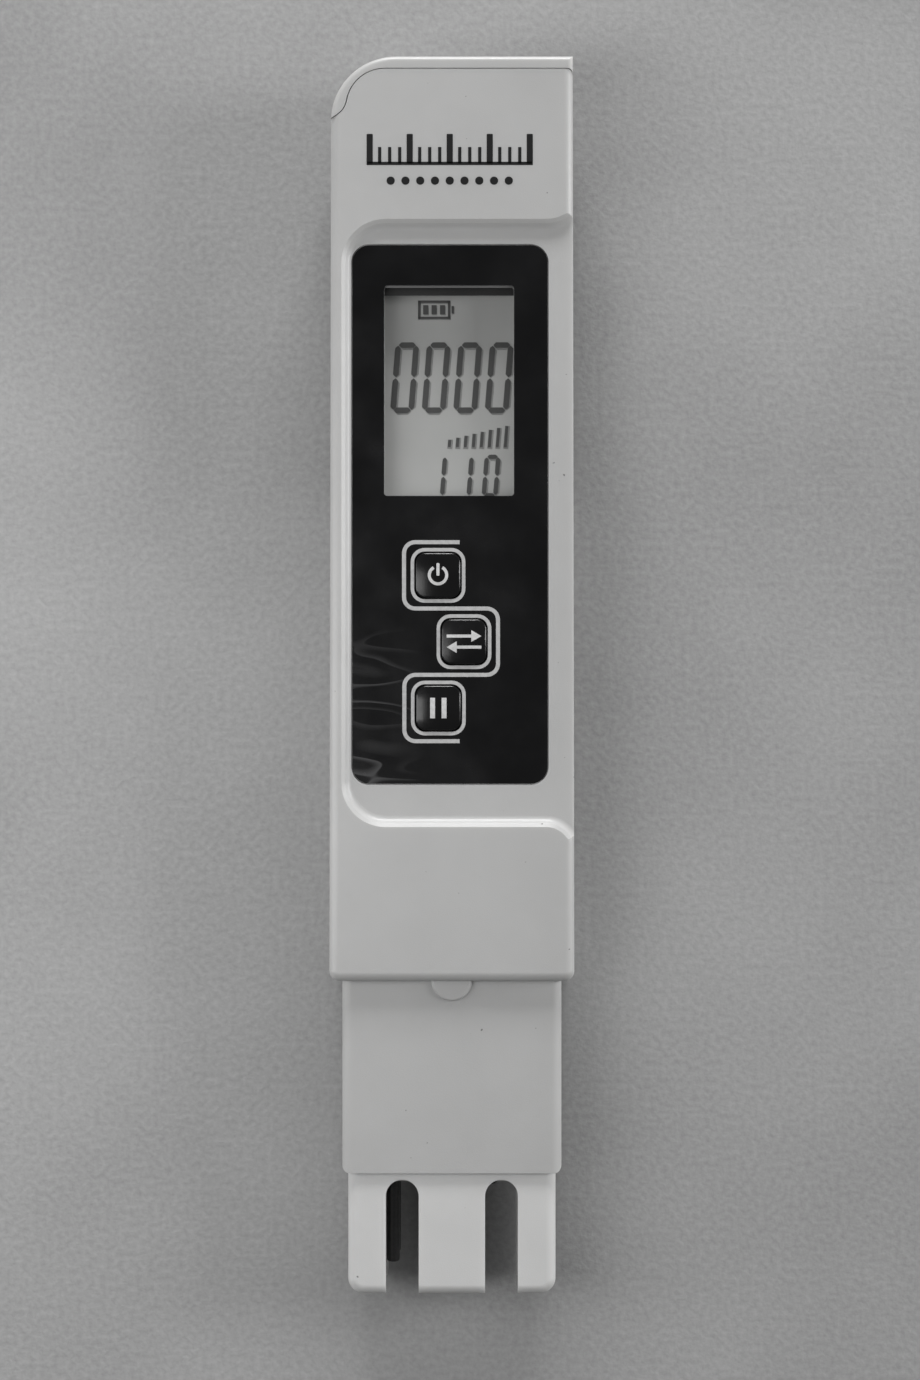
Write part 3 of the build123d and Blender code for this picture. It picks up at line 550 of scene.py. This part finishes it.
class METER_OT_white_parts(Operator):
    """Moulded finish of the housing, cap, sleeve and guard"""

    bl_idname = "meter.white_parts"
    bl_label = "White parts"

    def execute(self, context):
        shade = context.scene.meter_finish.white_plastic[:]
        dress(moulded_plastic("front_shell_plastic", shade, roughness=0.36, offset=0.0), "front_shell")
        dress(moulded_plastic("back_shell_plastic", shade, roughness=0.4, offset=1.3), "back_shell")
        cap = moulded_plastic("cap_plastic", tinted(shade, CAP_TINT), roughness=0.36, offset=2.1)
        dress(cap, "battery_cap")
        sleeve = moulded_plastic("sleeve_plastic", tinted(shade, SLEEVE_TINT), roughness=0.38, offset=3.7)
        dress(sleeve, "probe_sleeve")
        guard = moulded_plastic("guard_plastic", tinted(shade, GUARD_TINT), roughness=0.34, offset=4.9)
        dress(guard, "probe_guard")
        return {"FINISHED"}


class METER_OT_front_parts(Operator):
    """Black film, keys, window and display layers"""

    bl_idname = "meter.front_parts"
    bl_label = "Front parts"

    def execute(self, context):
        finish = context.scene.meter_finish
        black = finish.black_film[:]
        dress(gloss_film("front_film", black, offset=0.0, crease_glints=True), "overlay_film")
        dress(gloss_film("key_gloss", black, offset=1.7), *KEY_NODES)
        dress(clear_window("window_plastic", WINDOW_CLEAR), "display_lens")
        polarizer = display_layer("polarizer_film", finish.display_field[:], offset=0.0)
        dress(polarizer, "front_polarizer", "rear_polarizer")
        dress(display_layer("display_glass", DISPLAY_GLASS, offset=2.0), "front_glass", "rear_glass")
        return {"FINISHED"}


class METER_OT_inner_parts(Operator):
    """Finishes of the board, switches, cells, wires and probe"""

    bl_idname = "meter.inner_parts"
    bl_label = "Inner parts"

    def execute(self, context):
        inner = context.scene.meter_finish.inner_plastic[:]
        tray = moulded_plastic("tray_plastic", inner, roughness=0.5, offset=5.2)
        dress(tray, "battery_tray", "display_frame", "probe_insert")
        board = soft_or_cast("board_mask", BOARD_GREEN, roughness=0.35, scale=900, offset=0.4, contrast=0.3)
        dress(board, "circuit_board")
        chip = soft_or_cast("chip_cover", CHIP_BLACK, roughness=0.25, scale=500, offset=1.4)
        dress(chip, "chip_blob")
        bodies = soft_or_cast("small_bodies", SMALL_PART_BROWN, roughness=0.55, scale=2500, offset=2.4)
        dress(bodies, "small_parts")
        strip = soft_or_cast("connector_strip", STRIP_BLACK, roughness=0.7, scale=1800, offset=3.4)
        dress(strip, "display_connectors")
        switch = soft_or_cast("switch_moulding", SWITCH_BLACK, roughness=0.5, scale=1500, offset=4.4)
        dress(switch, *SWITCH_NODES)
        plunger = soft_or_cast("plunger_moulding", PLUNGER_BLACK, roughness=0.45, scale=1500, offset=5.4)
        dress(plunger, *PLUNGER_NODES)
        steel = worked_metal("cell_steel", CELL_GREY, roughness=0.3, offset=0.4)
        dress(steel, "left_cell", "right_cell", "crystal")
        spring = worked_metal("contact_steel", CONTACT_GREY, roughness=0.35, offset=1.4)
        dress(spring, "positive_contact", "negative_contact", "contact_bridge")
        screw = worked_metal("screw_steel", SCREW_GREY, roughness=0.35, offset=2.4)
        dress(screw, "board_screws")
        carbon = soft_or_cast(
            "electrode_carbon", CARBON_BLACK, roughness=0.35, scale=2600, offset=6.4, contrast=0.3
        )
        dress(carbon, "front_electrode", "rear_electrode")
        bead = soft_or_cast("bead_cast", BEAD_BLACK, roughness=0.2, scale=1200, offset=7.4)
        dress(bead, "thermistor_bead")
        red = soft_or_cast("red_sheath", SHEATH_RED, roughness=0.4, scale=1200, offset=8.4)
        dress(red, "front_electrode_wire")
        black = soft_or_cast("black_sheath", SHEATH_BLACK, roughness=0.4, scale=1200, offset=9.4)
        dress(black, "rear_electrode_wire")
        pale = soft_or_cast("pale_sheath", SHEATH_PALE, roughness=0.4, scale=1200, offset=10.4)
        dress(pale, "thermistor_wires")
        resin = soft_or_cast("resin_fill", RESIN_GREY, roughness=0.25, scale=400, offset=11.4)
        dress(resin, "sealing_resin")
        return {"FINISHED"}


# Printed marks of the front

ROUND_SEGMENTS = 8

# Each winding of the track is cut from a closed frame that is longer than the winding
TRACK_FRAME = 18 * MM
TRACK_CUT_SHIFT = 1.05 * MM

# Symbols on the keys, as shares of the symbol's height or as numbers of line widths
SYMBOL_LINE = 0.15
SYMBOL_TINT = 1.25
POWER_VERTICES = 48
POWER_GAP_LINES = 1.3
POWER_STROKE_RISE = 0.28
POWER_STROKE_LENGTH = 0.62
POWER_STROKE_CORNER_LINES = 0.3
ARROW_LENGTH = 1.7
ARROW_RISE = 0.27
ARROW_HEAD_LINES = 2.2
HOLD_SPREAD = 0.28
HOLD_BAR_LINES = 1.6
BAR_CUTS = 6
HEAD_CUTS = 5
INK_SEAT = 0.2

# Tick scale and row of dots above the window
SCALE_TICKS = 17
SCALE_LONG_EVERY = 4
SCALE_PITCH = 1.22 * MM
SCALE_LONG = 3.6 * MM
SCALE_SHORT = 2.0 * MM
SCALE_BOLD = 0.75 * MM
SCALE_FINE = 0.4 * MM
SCALE_CORNER_SHARE = 0.12
SCALE_X = -0.25 * MM
SCALE_Y = 64.5 * MM
SCALE_DOTS = 9
SCALE_DOT = 1.0 * MM
SCALE_DOT_PITCH = 1.8 * MM
SCALE_DOT_Y = 60.6 * MM
DOT_CORNER_SHARE = 0.49
DOT_SEGMENTS = 6


class METER_OT_key_rings(Operator):
    """Light square rings printed round the three keys"""

    bl_idname = "meter.key_rings"
    bl_label = "Key rings"

    def execute(self, context):
        sizes = context.scene.meter_print
        width = sizes.ring_width
        radius = sizes.ring_radius
        rings = []
        for name in KEY_NODES:
            middle = centre_of(name)
            ring = flat_plate(
                "ring", middle.x, middle.y, FILM_TOP, width, width, corner=radius, segments=ROUND_SEGMENTS
            )
            hollow_out(sizes.ring_line)
            raise_flat(sizes.ink_height)
            rings.append(ring)
        ink = printed_ink("ring_ink", context.scene.meter_finish.ink[:], offset=0.0)
        finish_piece(joined("key_ring_print", rings), "housing", ink)
        return {"FINISHED"}


class METER_OT_key_track(Operator):
    """Light line that winds round the keys, from three rounded frames cut and set end to end"""

    bl_idname = "meter.key_track"
    bl_label = "Key track"

    def execute(self, context):
        sizes = context.scene.meter_print
        line = sizes.track_line
        radius = sizes.track_radius
        centres = [centre_of(name) for name in KEY_NODES]
        width = TRACK_FRAME + line
        height = (centres[0].y - centres[2].y) / 2 + line
        cut_x = (centres[0].x + centres[1].x) / 2 + TRACK_CUT_SHIFT
        parts = []
        for row, middle in enumerate(centres):
            side = 1 if row == 1 else -1
            outer_x = middle.x + side * sizes.track_margin
            x = outer_x - side * TRACK_FRAME / 2
            part = flat_plate(
                "track", x, middle.y, FILM_TOP, width, height, corner=radius, segments=ROUND_SEGMENTS
            )
            hollow_out(line)
            cut_off(cut_x, keep_left=side < 0)
            raise_flat(sizes.ink_height)
            parts.append(part)
        ink = printed_ink("track_ink", context.scene.meter_finish.ink[:], offset=1.0)
        finish_piece(joined("key_track_print", parts), "housing", ink)
        return {"FINISHED"}


def power_symbol(x, y, z, height, line):
    """Open ring with an upright stroke."""
    ring = flat_disc(x, y, z, height / 2, POWER_VERTICES)
    hollow_out(line)
    bpy.ops.object.mode_set(mode="EDIT")
    bpy.ops.mesh.select_mode(type="FACE")
    bpy.ops.mesh.select_all(action="DESELECT")
    leave_edit()
    for face in ring.data.polygons:
        face.select = abs(face.center.x - x) < POWER_GAP_LINES * line and face.center.y > y
    bpy.ops.object.mode_set(mode="EDIT")
    bpy.ops.mesh.delete(type="FACE")
    leave_edit()
    stroke_y = y + POWER_STROKE_RISE * height
    stroke_length = POWER_STROKE_LENGTH * height
    corner = POWER_STROKE_CORNER_LINES * line
    stroke = flat_plate("stroke", x, stroke_y, z, line, stroke_length, corner=corner, segments=2)
    return [ring, stroke]


def arrow(x, y, z, width, line, direction):
    """Straight arrow along x, to the right or to the left."""
    head = ARROW_HEAD_LINES * line
    shaft = flat_plate("shaft", x - direction * head / 2, y, z, width - head, line)
    divide(BAR_CUTS)
    tip_x = x + direction * (width / 2 - head)
    tip = flat_disc(tip_x, y, z, head, vertices=3, turn=-direction * math.pi / 2)
    divide(HEAD_CUTS)
    return [shaft, tip]


def change_symbol(x, y, z, height, line):
    """Two arrows, one above the other, that point opposite ways."""
    parts = []
    for direction in (1, -1):
        parts += arrow(x, y + direction * ARROW_RISE * height, z, ARROW_LENGTH * height, line, direction)
    return parts


def hold_symbol(x, y, z, height, line):
    """Two upright bars."""
    parts = []
    for side in (-1, 1):
        bar_x = x + side * HOLD_SPREAD * height
        parts.append(flat_plate("hold_bar", bar_x, y, z, HOLD_BAR_LINES * line, height))
        divide(BAR_CUTS)
    return parts


SYMBOLS = {"power_key": power_symbol, "mode_key": change_symbol, "hold_key": hold_symbol}


def lay_on_key(symbol, key, ink_height):
    """Projects a flat symbol down on the key's crowned top and gives it an ink thickness."""
    choose(symbol)
    wrap = symbol.modifiers.new("Lay", "SHRINKWRAP")
    wrap.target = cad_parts[key]
    wrap.wrap_method = "PROJECT"
    wrap.use_project_z = True
    wrap.use_negative_direction = True
    wrap.use_positive_direction = False
    wrap.offset = INK_SEAT * ink_height
    bpy.ops.object.modifier_apply(modifier="Lay")
    edit_all()
    bpy.ops.mesh.normals_make_consistent(inside=False)
    leave_edit()
    cover = symbol.modifiers.new("Cover", "SOLIDIFY")
    cover.thickness = ink_height
    cover.offset = 1
    bpy.ops.object.modifier_apply(modifier="Cover")


class METER_OT_key_symbols(Operator):
    """Generic symbols on the keys: power, change over and hold"""

    bl_idname = "meter.key_symbols"
    bl_label = "Key symbols"

    def execute(self, context):
        sizes = context.scene.meter_print
        height = sizes.symbol_height
        shade = tinted(context.scene.meter_finish.ink[:], SYMBOL_TINT)
        ink = printed_ink("symbol_ink", shade, offset=2.0)
        for key, symbol_parts in SYMBOLS.items():
            middle = centre_of(key)
            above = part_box(key)[1].z + MM
            parts = symbol_parts(middle.x, middle.y, above, height, SYMBOL_LINE * height)
            symbol = joined(f"{key}_symbol", parts)
            edit_all()
            bpy.ops.mesh.quads_convert_to_tris()
            leave_edit()
            lay_on_key(symbol, key, sizes.ink_height)
            finish_piece(symbol, key, ink)
        return {"FINISHED"}


class METER_OT_scale_print(Operator):
    """Plain tick scale and row of dots printed on the housing above the window"""

    bl_idname = "meter.scale_print"
    bl_label = "Scale print"

    def execute(self, context):
        z = SHELL_TOP
        foot_y = SCALE_Y - SCALE_LONG / 2
        first_tick = SCALE_X - (SCALE_TICKS - 1) / 2 * SCALE_PITCH
        first_dot = SCALE_X - (SCALE_DOTS - 1) / 2 * SCALE_DOT_PITCH
        parts = []
        for tick in range(SCALE_TICKS):
            long_tick = tick % SCALE_LONG_EVERY == 0
            height = SCALE_LONG if long_tick else SCALE_SHORT
            width = SCALE_BOLD if long_tick else SCALE_FINE
            x = first_tick + tick * SCALE_PITCH
            y = foot_y + height / 2
            corner = SCALE_CORNER_SHARE * width
            parts.append(flat_plate("tick", x, y, z, width, height, corner=corner, segments=2))
        base_width = (SCALE_TICKS - 1) * SCALE_PITCH + SCALE_BOLD
        parts.append(flat_plate("base_line", SCALE_X, foot_y, z, base_width, SCALE_FINE))
        corner = DOT_CORNER_SHARE * SCALE_DOT
        for step in range(SCALE_DOTS):
            x = first_dot + step * SCALE_DOT_PITCH
            dot = flat_plate(
                "dot", x, SCALE_DOT_Y, z, SCALE_DOT, SCALE_DOT, corner=corner, segments=DOT_SEGMENTS
            )
            parts.append(dot)
        for part in parts:
            choose(part)
            raise_flat(context.scene.meter_print.ink_height / 2)
        ink = printed_ink("scale_ink", context.scene.meter_finish.dark_ink[:], offset=3.0)
        finish_piece(joined("scale_print", parts), "housing", ink)
        return {"FINISHED"}


# Display

# Lit segments of the digits shown: a top, b and c right, d foot, e and f left
SEGMENTS_OF = {"0": "abcdef", "1": "bc"}
SLANT = math.radians(4.5)
SEGMENT_GAP = 0.2 * MM
SEGMENT_TIP_SHARE = 0.42

LARGE_DIGITS = "0000"
LARGE_FIRST = Vector((-5.84, 37.19)) * MM
SMALL_DIGITS = "110"
SMALL_FIRST = Vector((-1.75, 25.0)) * MM
SMALL_HEIGHT = 5.3 * MM
SMALL_WIDTH = 1.95 * MM
SMALL_PITCH = 3.3 * MM
SMALL_STROKE = 0.52 * MM

LEVEL_BARS = 8
LEVEL_START = Vector((-0.3, 28.6)) * MM
LEVEL_PITCH = 1.0 * MM
LEVEL_LOW = 0.9 * MM
LEVEL_HIGH = 2.6 * MM
LEVEL_WIDTH = 0.36 * MM

CELL_ICON = Vector((-2.2, 45.6)) * MM
ICON_WIDTH = 4.0 * MM
ICON_HEIGHT = 2.3 * MM
ICON_LINE = 0.3 * MM
ICON_CORNER_LINES = 0.2
NUB_HEIGHT_SHARE = 0.4
CHARGE_STEP_SHARE = 0.26
CHARGE_WIDTH_SHARE = 0.16
CHARGE_HEIGHT_SHARE = 0.5

# Height of the marks over the display layer, and the wider soft shadow under them
MARK_LIFT = 0.03 * MM
MARK_THICKNESS = MARK_LIFT / 4
SHADOW_LIFT_SHARE = 0.3
SHADOW_SHIFT = Vector((0.08, -0.12)) * MM
SHADOW_GROWTH = 0.28 * MM
SHADOW_TINT = 1.2

# A dark strip under the lens is painted shade, and a bright strip on the lens is a painted highlight of its
# cut edge, both along the window's head
LENS_OVERLAP = 0.85 * MM
SHADE_STRIP_DEPTH = 1.25 * MM
SHADE_STRIP_TUCK = LENS_OVERLAP / 4
# Painted shade: black of the strip under the lens at the window's head
PAINTED_SHADE_BLACK = (0.006, 0.006, 0.006)
# Painted highlight: width and grey of the bright strip along the lens's cut edge
GLINT_WIDTH = 0.28 * MM
GLINT_GREY = (0.16, 0.16, 0.16)


class METER_OT_window_edge(Operator):
    """Painted shade under the window's head as a dark strip, and a painted highlight along the lens's cut
    edge
    """

    bl_idname = "meter.window_edge"
    bl_label = "Window edge"

    def execute(self, context):
        low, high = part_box("display_lens")
        middle_x = (low.x + high.x) / 2
        width = high.x - low.x - 2 * LENS_OVERLAP
        head_y = high.y - LENS_OVERLAP
        shade_strip_y = head_y - SHADE_STRIP_DEPTH / 2 + SHADE_STRIP_TUCK
        shade_strip_z = low.z - 2 * MARK_LIFT
        # Dark strip under the lens: painted shade at the window's head
        shade_strip = flat_plate("window_painted_shade", middle_x, shade_strip_y, shade_strip_z, width + LENS_OVERLAP, SHADE_STRIP_DEPTH)
        raise_flat(MARK_LIFT)
        window_shade_paint = soft_or_cast("window_shade_paint", PAINTED_SHADE_BLACK, roughness=0.5, scale=2500, offset=12.4)
        finish_piece(shade_strip, "housing", window_shade_paint)
        # Bright strip on the lens: painted highlight of its cut edge
        edge = flat_plate("window_painted_glint", middle_x, head_y - GLINT_WIDTH / 2, high.z, width, GLINT_WIDTH)
        raise_flat(2 * MARK_LIFT)
        edit_all()
        bpy.ops.mesh.bevel(offset=MARK_LIFT, segments=2, affect="EDGES")
        leave_edit()
        finish_piece(edge, "housing", display_layer("painted_edge_glint", GLINT_GREY, offset=4.4))
        return {"FINISHED"}


def digit(symbol, x, y, z, width, height, stroke):
    """Seven-segment digit with a slant, as a list of strokes."""
    half_w = (width - stroke) / 2
    half_h = (height - stroke) / 2
    lean = math.tan(SLANT)
    upright = half_h - SEGMENT_GAP
    across = 2 * half_w - SEGMENT_GAP
    places = {
        "a": (0, half_h, False),
        "d": (0, -half_h, False),
        "f": (-half_w, half_h / 2, True),
        "b": (half_w, half_h / 2, True),
        "e": (-half_w, -half_h / 2, True),
        "c": (half_w, -half_h / 2, True),
    }
    strokes = []
    for segment in SEGMENTS_OF[symbol]:
        dx, dy, standing = places[segment]
        wide, tall = (stroke, upright) if standing else (across, stroke)
        angle = -SLANT if standing else 0.0
        tip = SEGMENT_TIP_SHARE * stroke
        strokes.append(flat_plate("stroke", x + dx + lean * dy, y + dy, z, wide, tall, angle, tip))
    return strokes


def digit_row(symbols, first, pitch, z, width, height, stroke):
    """A row of digits from its first digit's middle."""
    strokes = []
    for place, symbol in enumerate(symbols):
        strokes += digit(symbol, first.x + place * pitch, first.y, z, width, height, stroke)
    return strokes


def level_bars(start, z, grow):
    """Slanted bars that rise from left to right."""
    strokes = []
    for step in range(LEVEL_BARS):
        height = LEVEL_LOW + (LEVEL_HIGH - LEVEL_LOW) * step / (LEVEL_BARS - 1)
        x = start.x + step * LEVEL_PITCH
        y = start.y + height / 2
        strokes.append(flat_plate("stroke", x, y, z, LEVEL_WIDTH + grow, height + grow, -SLANT))
    return strokes


def cell_icon(middle, z):
    """Battery outline with its nub and three bars of charge."""
    corner = ICON_CORNER_LINES * ICON_LINE
    case = flat_plate("case", middle.x, middle.y, z, ICON_WIDTH, ICON_HEIGHT, corner=corner, segments=2)
    hollow_out(ICON_LINE)
    nub_x = middle.x + ICON_WIDTH / 2 + ICON_LINE
    parts = [case, flat_plate("stroke", nub_x, middle.y, z, ICON_LINE, NUB_HEIGHT_SHARE * ICON_HEIGHT)]
    bar_width = CHARGE_WIDTH_SHARE * ICON_WIDTH
    bar_height = CHARGE_HEIGHT_SHARE * ICON_HEIGHT
    for step in (-1, 0, 1):
        x = middle.x + step * CHARGE_STEP_SHARE * ICON_WIDTH
        parts.append(flat_plate("stroke", x, middle.y, z, bar_width, bar_height))
    return parts


def display_marks(sizes, shift, grow, z):
    """All strokes of the display: large digits, small digits, level bars and cell icon."""
    large = (sizes.digit_width + grow, sizes.digit_height + grow, sizes.digit_stroke + grow)
    small = (SMALL_WIDTH + grow, SMALL_HEIGHT + grow, SMALL_STROKE + grow)
    strokes = digit_row(LARGE_DIGITS, LARGE_FIRST + shift, sizes.digit_pitch, z, *large)
    strokes += digit_row(SMALL_DIGITS, SMALL_FIRST + shift, SMALL_PITCH, z, *small)
    strokes += level_bars(LEVEL_START + shift, z, grow)
    strokes += cell_icon(CELL_ICON + shift, z)
    return strokes


class METER_OT_display_marks(Operator):
    """Digits and icons of the display, with the soft shadow behind them"""

    bl_idname = "meter.display_marks"
    bl_label = "Display marks"

    def execute(self, context):
        sizes = context.scene.meter_print
        shade = context.scene.meter_finish.display_mark[:]
        soft = mark_shadow("mark_shadow", tinted(shade, SHADOW_TINT), offset=0.0)
        dark = soft_or_cast("mark_tone", shade, roughness=0.5, scale=3000, offset=0.0, contrast=0.1)
        layers = (
            ("display_shadow", SHADOW_SHIFT, SHADOW_GROWTH, SHADOW_LIFT_SHARE * MARK_LIFT, soft),
            ("display_digits", Vector((0, 0)), 0, MARK_LIFT, dark),
        )
        for name, shift, grow, lift, material in layers:
            strokes = display_marks(sizes, shift, grow, FIELD_TOP + lift)
            for stroke in strokes:
                choose(stroke)
                raise_flat(MARK_THICKNESS)
            finish_piece(joined(name, strokes), "housing", material)
        return {"FINISHED"}


# Stage

FLOOR_SIZE = 6.0
WORLD_LEVEL = 0.12
CAMERA_LENS = 53.0
CAMERA_SENSOR = 36.0
CAMERA_NEAREST = 0.01


def area_light(name, place, aim, size, power):
    """Soft lamp that points at a place on the meter."""
    deselect()
    direction = Vector(aim) - Vector(place)
    turn = direction.to_track_quat("-Z", "Y").to_euler()
    bpy.ops.object.light_add(type="AREA", location=place, rotation=turn)
    lamp = bpy.context.object
    lamp.name = name
    lamp.data.shape = "RECTANGLE"
    lamp.data.size, lamp.data.size_y = size
    lamp.data.energy = power


class METER_OT_stage(Operator):
    """Paper floor, soft lamps, even surroundings and the camera straight above"""

    bl_idname = "meter.stage"
    bl_label = "Stage"

    def execute(self, context):
        stage = context.scene.meter_stage
        deselect()
        bpy.ops.mesh.primitive_plane_add(size=FLOOR_SIZE, location=(0, 0, 0))
        floor = context.object
        floor.name = "paper_floor"
        floor.data.materials.append(paper("floor_paper", stage.floor[:]))
        area_light("head_lamp", place=(0.02, 0.75, 0.22), aim=(0, 0, 0), size=(0.4, 0.16), power=5.8)
        area_light("left_lamp", place=(-0.17, -0.01, 0.15), aim=(0, -0.01, 0), size=(0.1, 0.3), power=0.34)
        area_light("right_lamp", place=(0.6, 0.1, 0.17), aim=(0, 0, 0), size=(0.2, 0.4), power=2.8)
        world = bpy.data.worlds.new("even_surroundings")
        world.use_nodes = True
        background = world.node_tree.nodes["Background"]
        background.inputs["Color"].default_value = (1, 1, 1, 1)
        background.inputs["Strength"].default_value = WORLD_LEVEL
        context.scene.world = world
        deselect()
        place = (stage.camera_x, stage.camera_y, stage.camera_height)
        bpy.ops.object.camera_add(location=place, rotation=(0, 0, 0))
        camera = context.object
        camera.name = "photo_camera"
        camera.data.lens = CAMERA_LENS
        camera.data.sensor_width = CAMERA_SENSOR
        camera.data.sensor_height = CAMERA_SENSOR
        camera.data.sensor_fit = "VERTICAL"
        camera.data.clip_start = CAMERA_NEAREST
        context.scene.camera = camera
        context.scene.view_settings.view_transform = "Standard"
        return {"FINISHED"}


class METER_PT_dress(Panel):
    """Sidebar list of the steps that dress the tester"""

    bl_label = "Water tester"
    bl_idname = "METER_PT_dress"
    bl_space_type = "VIEW_3D"
    bl_region_type = "UI"
    bl_category = "Tester"

    def draw(self, context):
        for operator in OPERATORS:
            self.layout.operator(operator.bl_idname)
        for group in (context.scene.meter_finish, context.scene.meter_print, context.scene.meter_stage):
            box = self.layout.box()
            for name in group.__annotations__:
                box.prop(group, name)


GROUPS = (MeterFinish, MeterPrint, MeterStage)
OPERATORS = (
    METER_OT_white_parts,
    METER_OT_front_parts,
    METER_OT_inner_parts,
    METER_OT_key_rings,
    METER_OT_key_track,
    METER_OT_key_symbols,
    METER_OT_scale_print,
    METER_OT_window_edge,
    METER_OT_display_marks,
    METER_OT_stage,
)


def register():
    for group in GROUPS:
        bpy.utils.register_class(group)
    for item in (*OPERATORS, METER_PT_dress):
        bpy.utils.register_class(item)
    bpy.types.Scene.meter_finish = PointerProperty(type=MeterFinish)
    bpy.types.Scene.meter_print = PointerProperty(type=MeterPrint)
    bpy.types.Scene.meter_stage = PointerProperty(type=MeterStage)


def unregister():
    del bpy.types.Scene.meter_stage
    del bpy.types.Scene.meter_print
    del bpy.types.Scene.meter_finish
    for item in (METER_PT_dress, *reversed(OPERATORS)):
        bpy.utils.unregister_class(item)
    for group in reversed(GROUPS):
        bpy.utils.unregister_class(group)


def main():
    """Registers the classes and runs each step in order."""
    register()
    for operator in OPERATORS:
        step = operator.bl_idname.split(".")[1]
        getattr(bpy.ops.meter, step)()
    deselect()


if __name__ == "__main__":
    main()
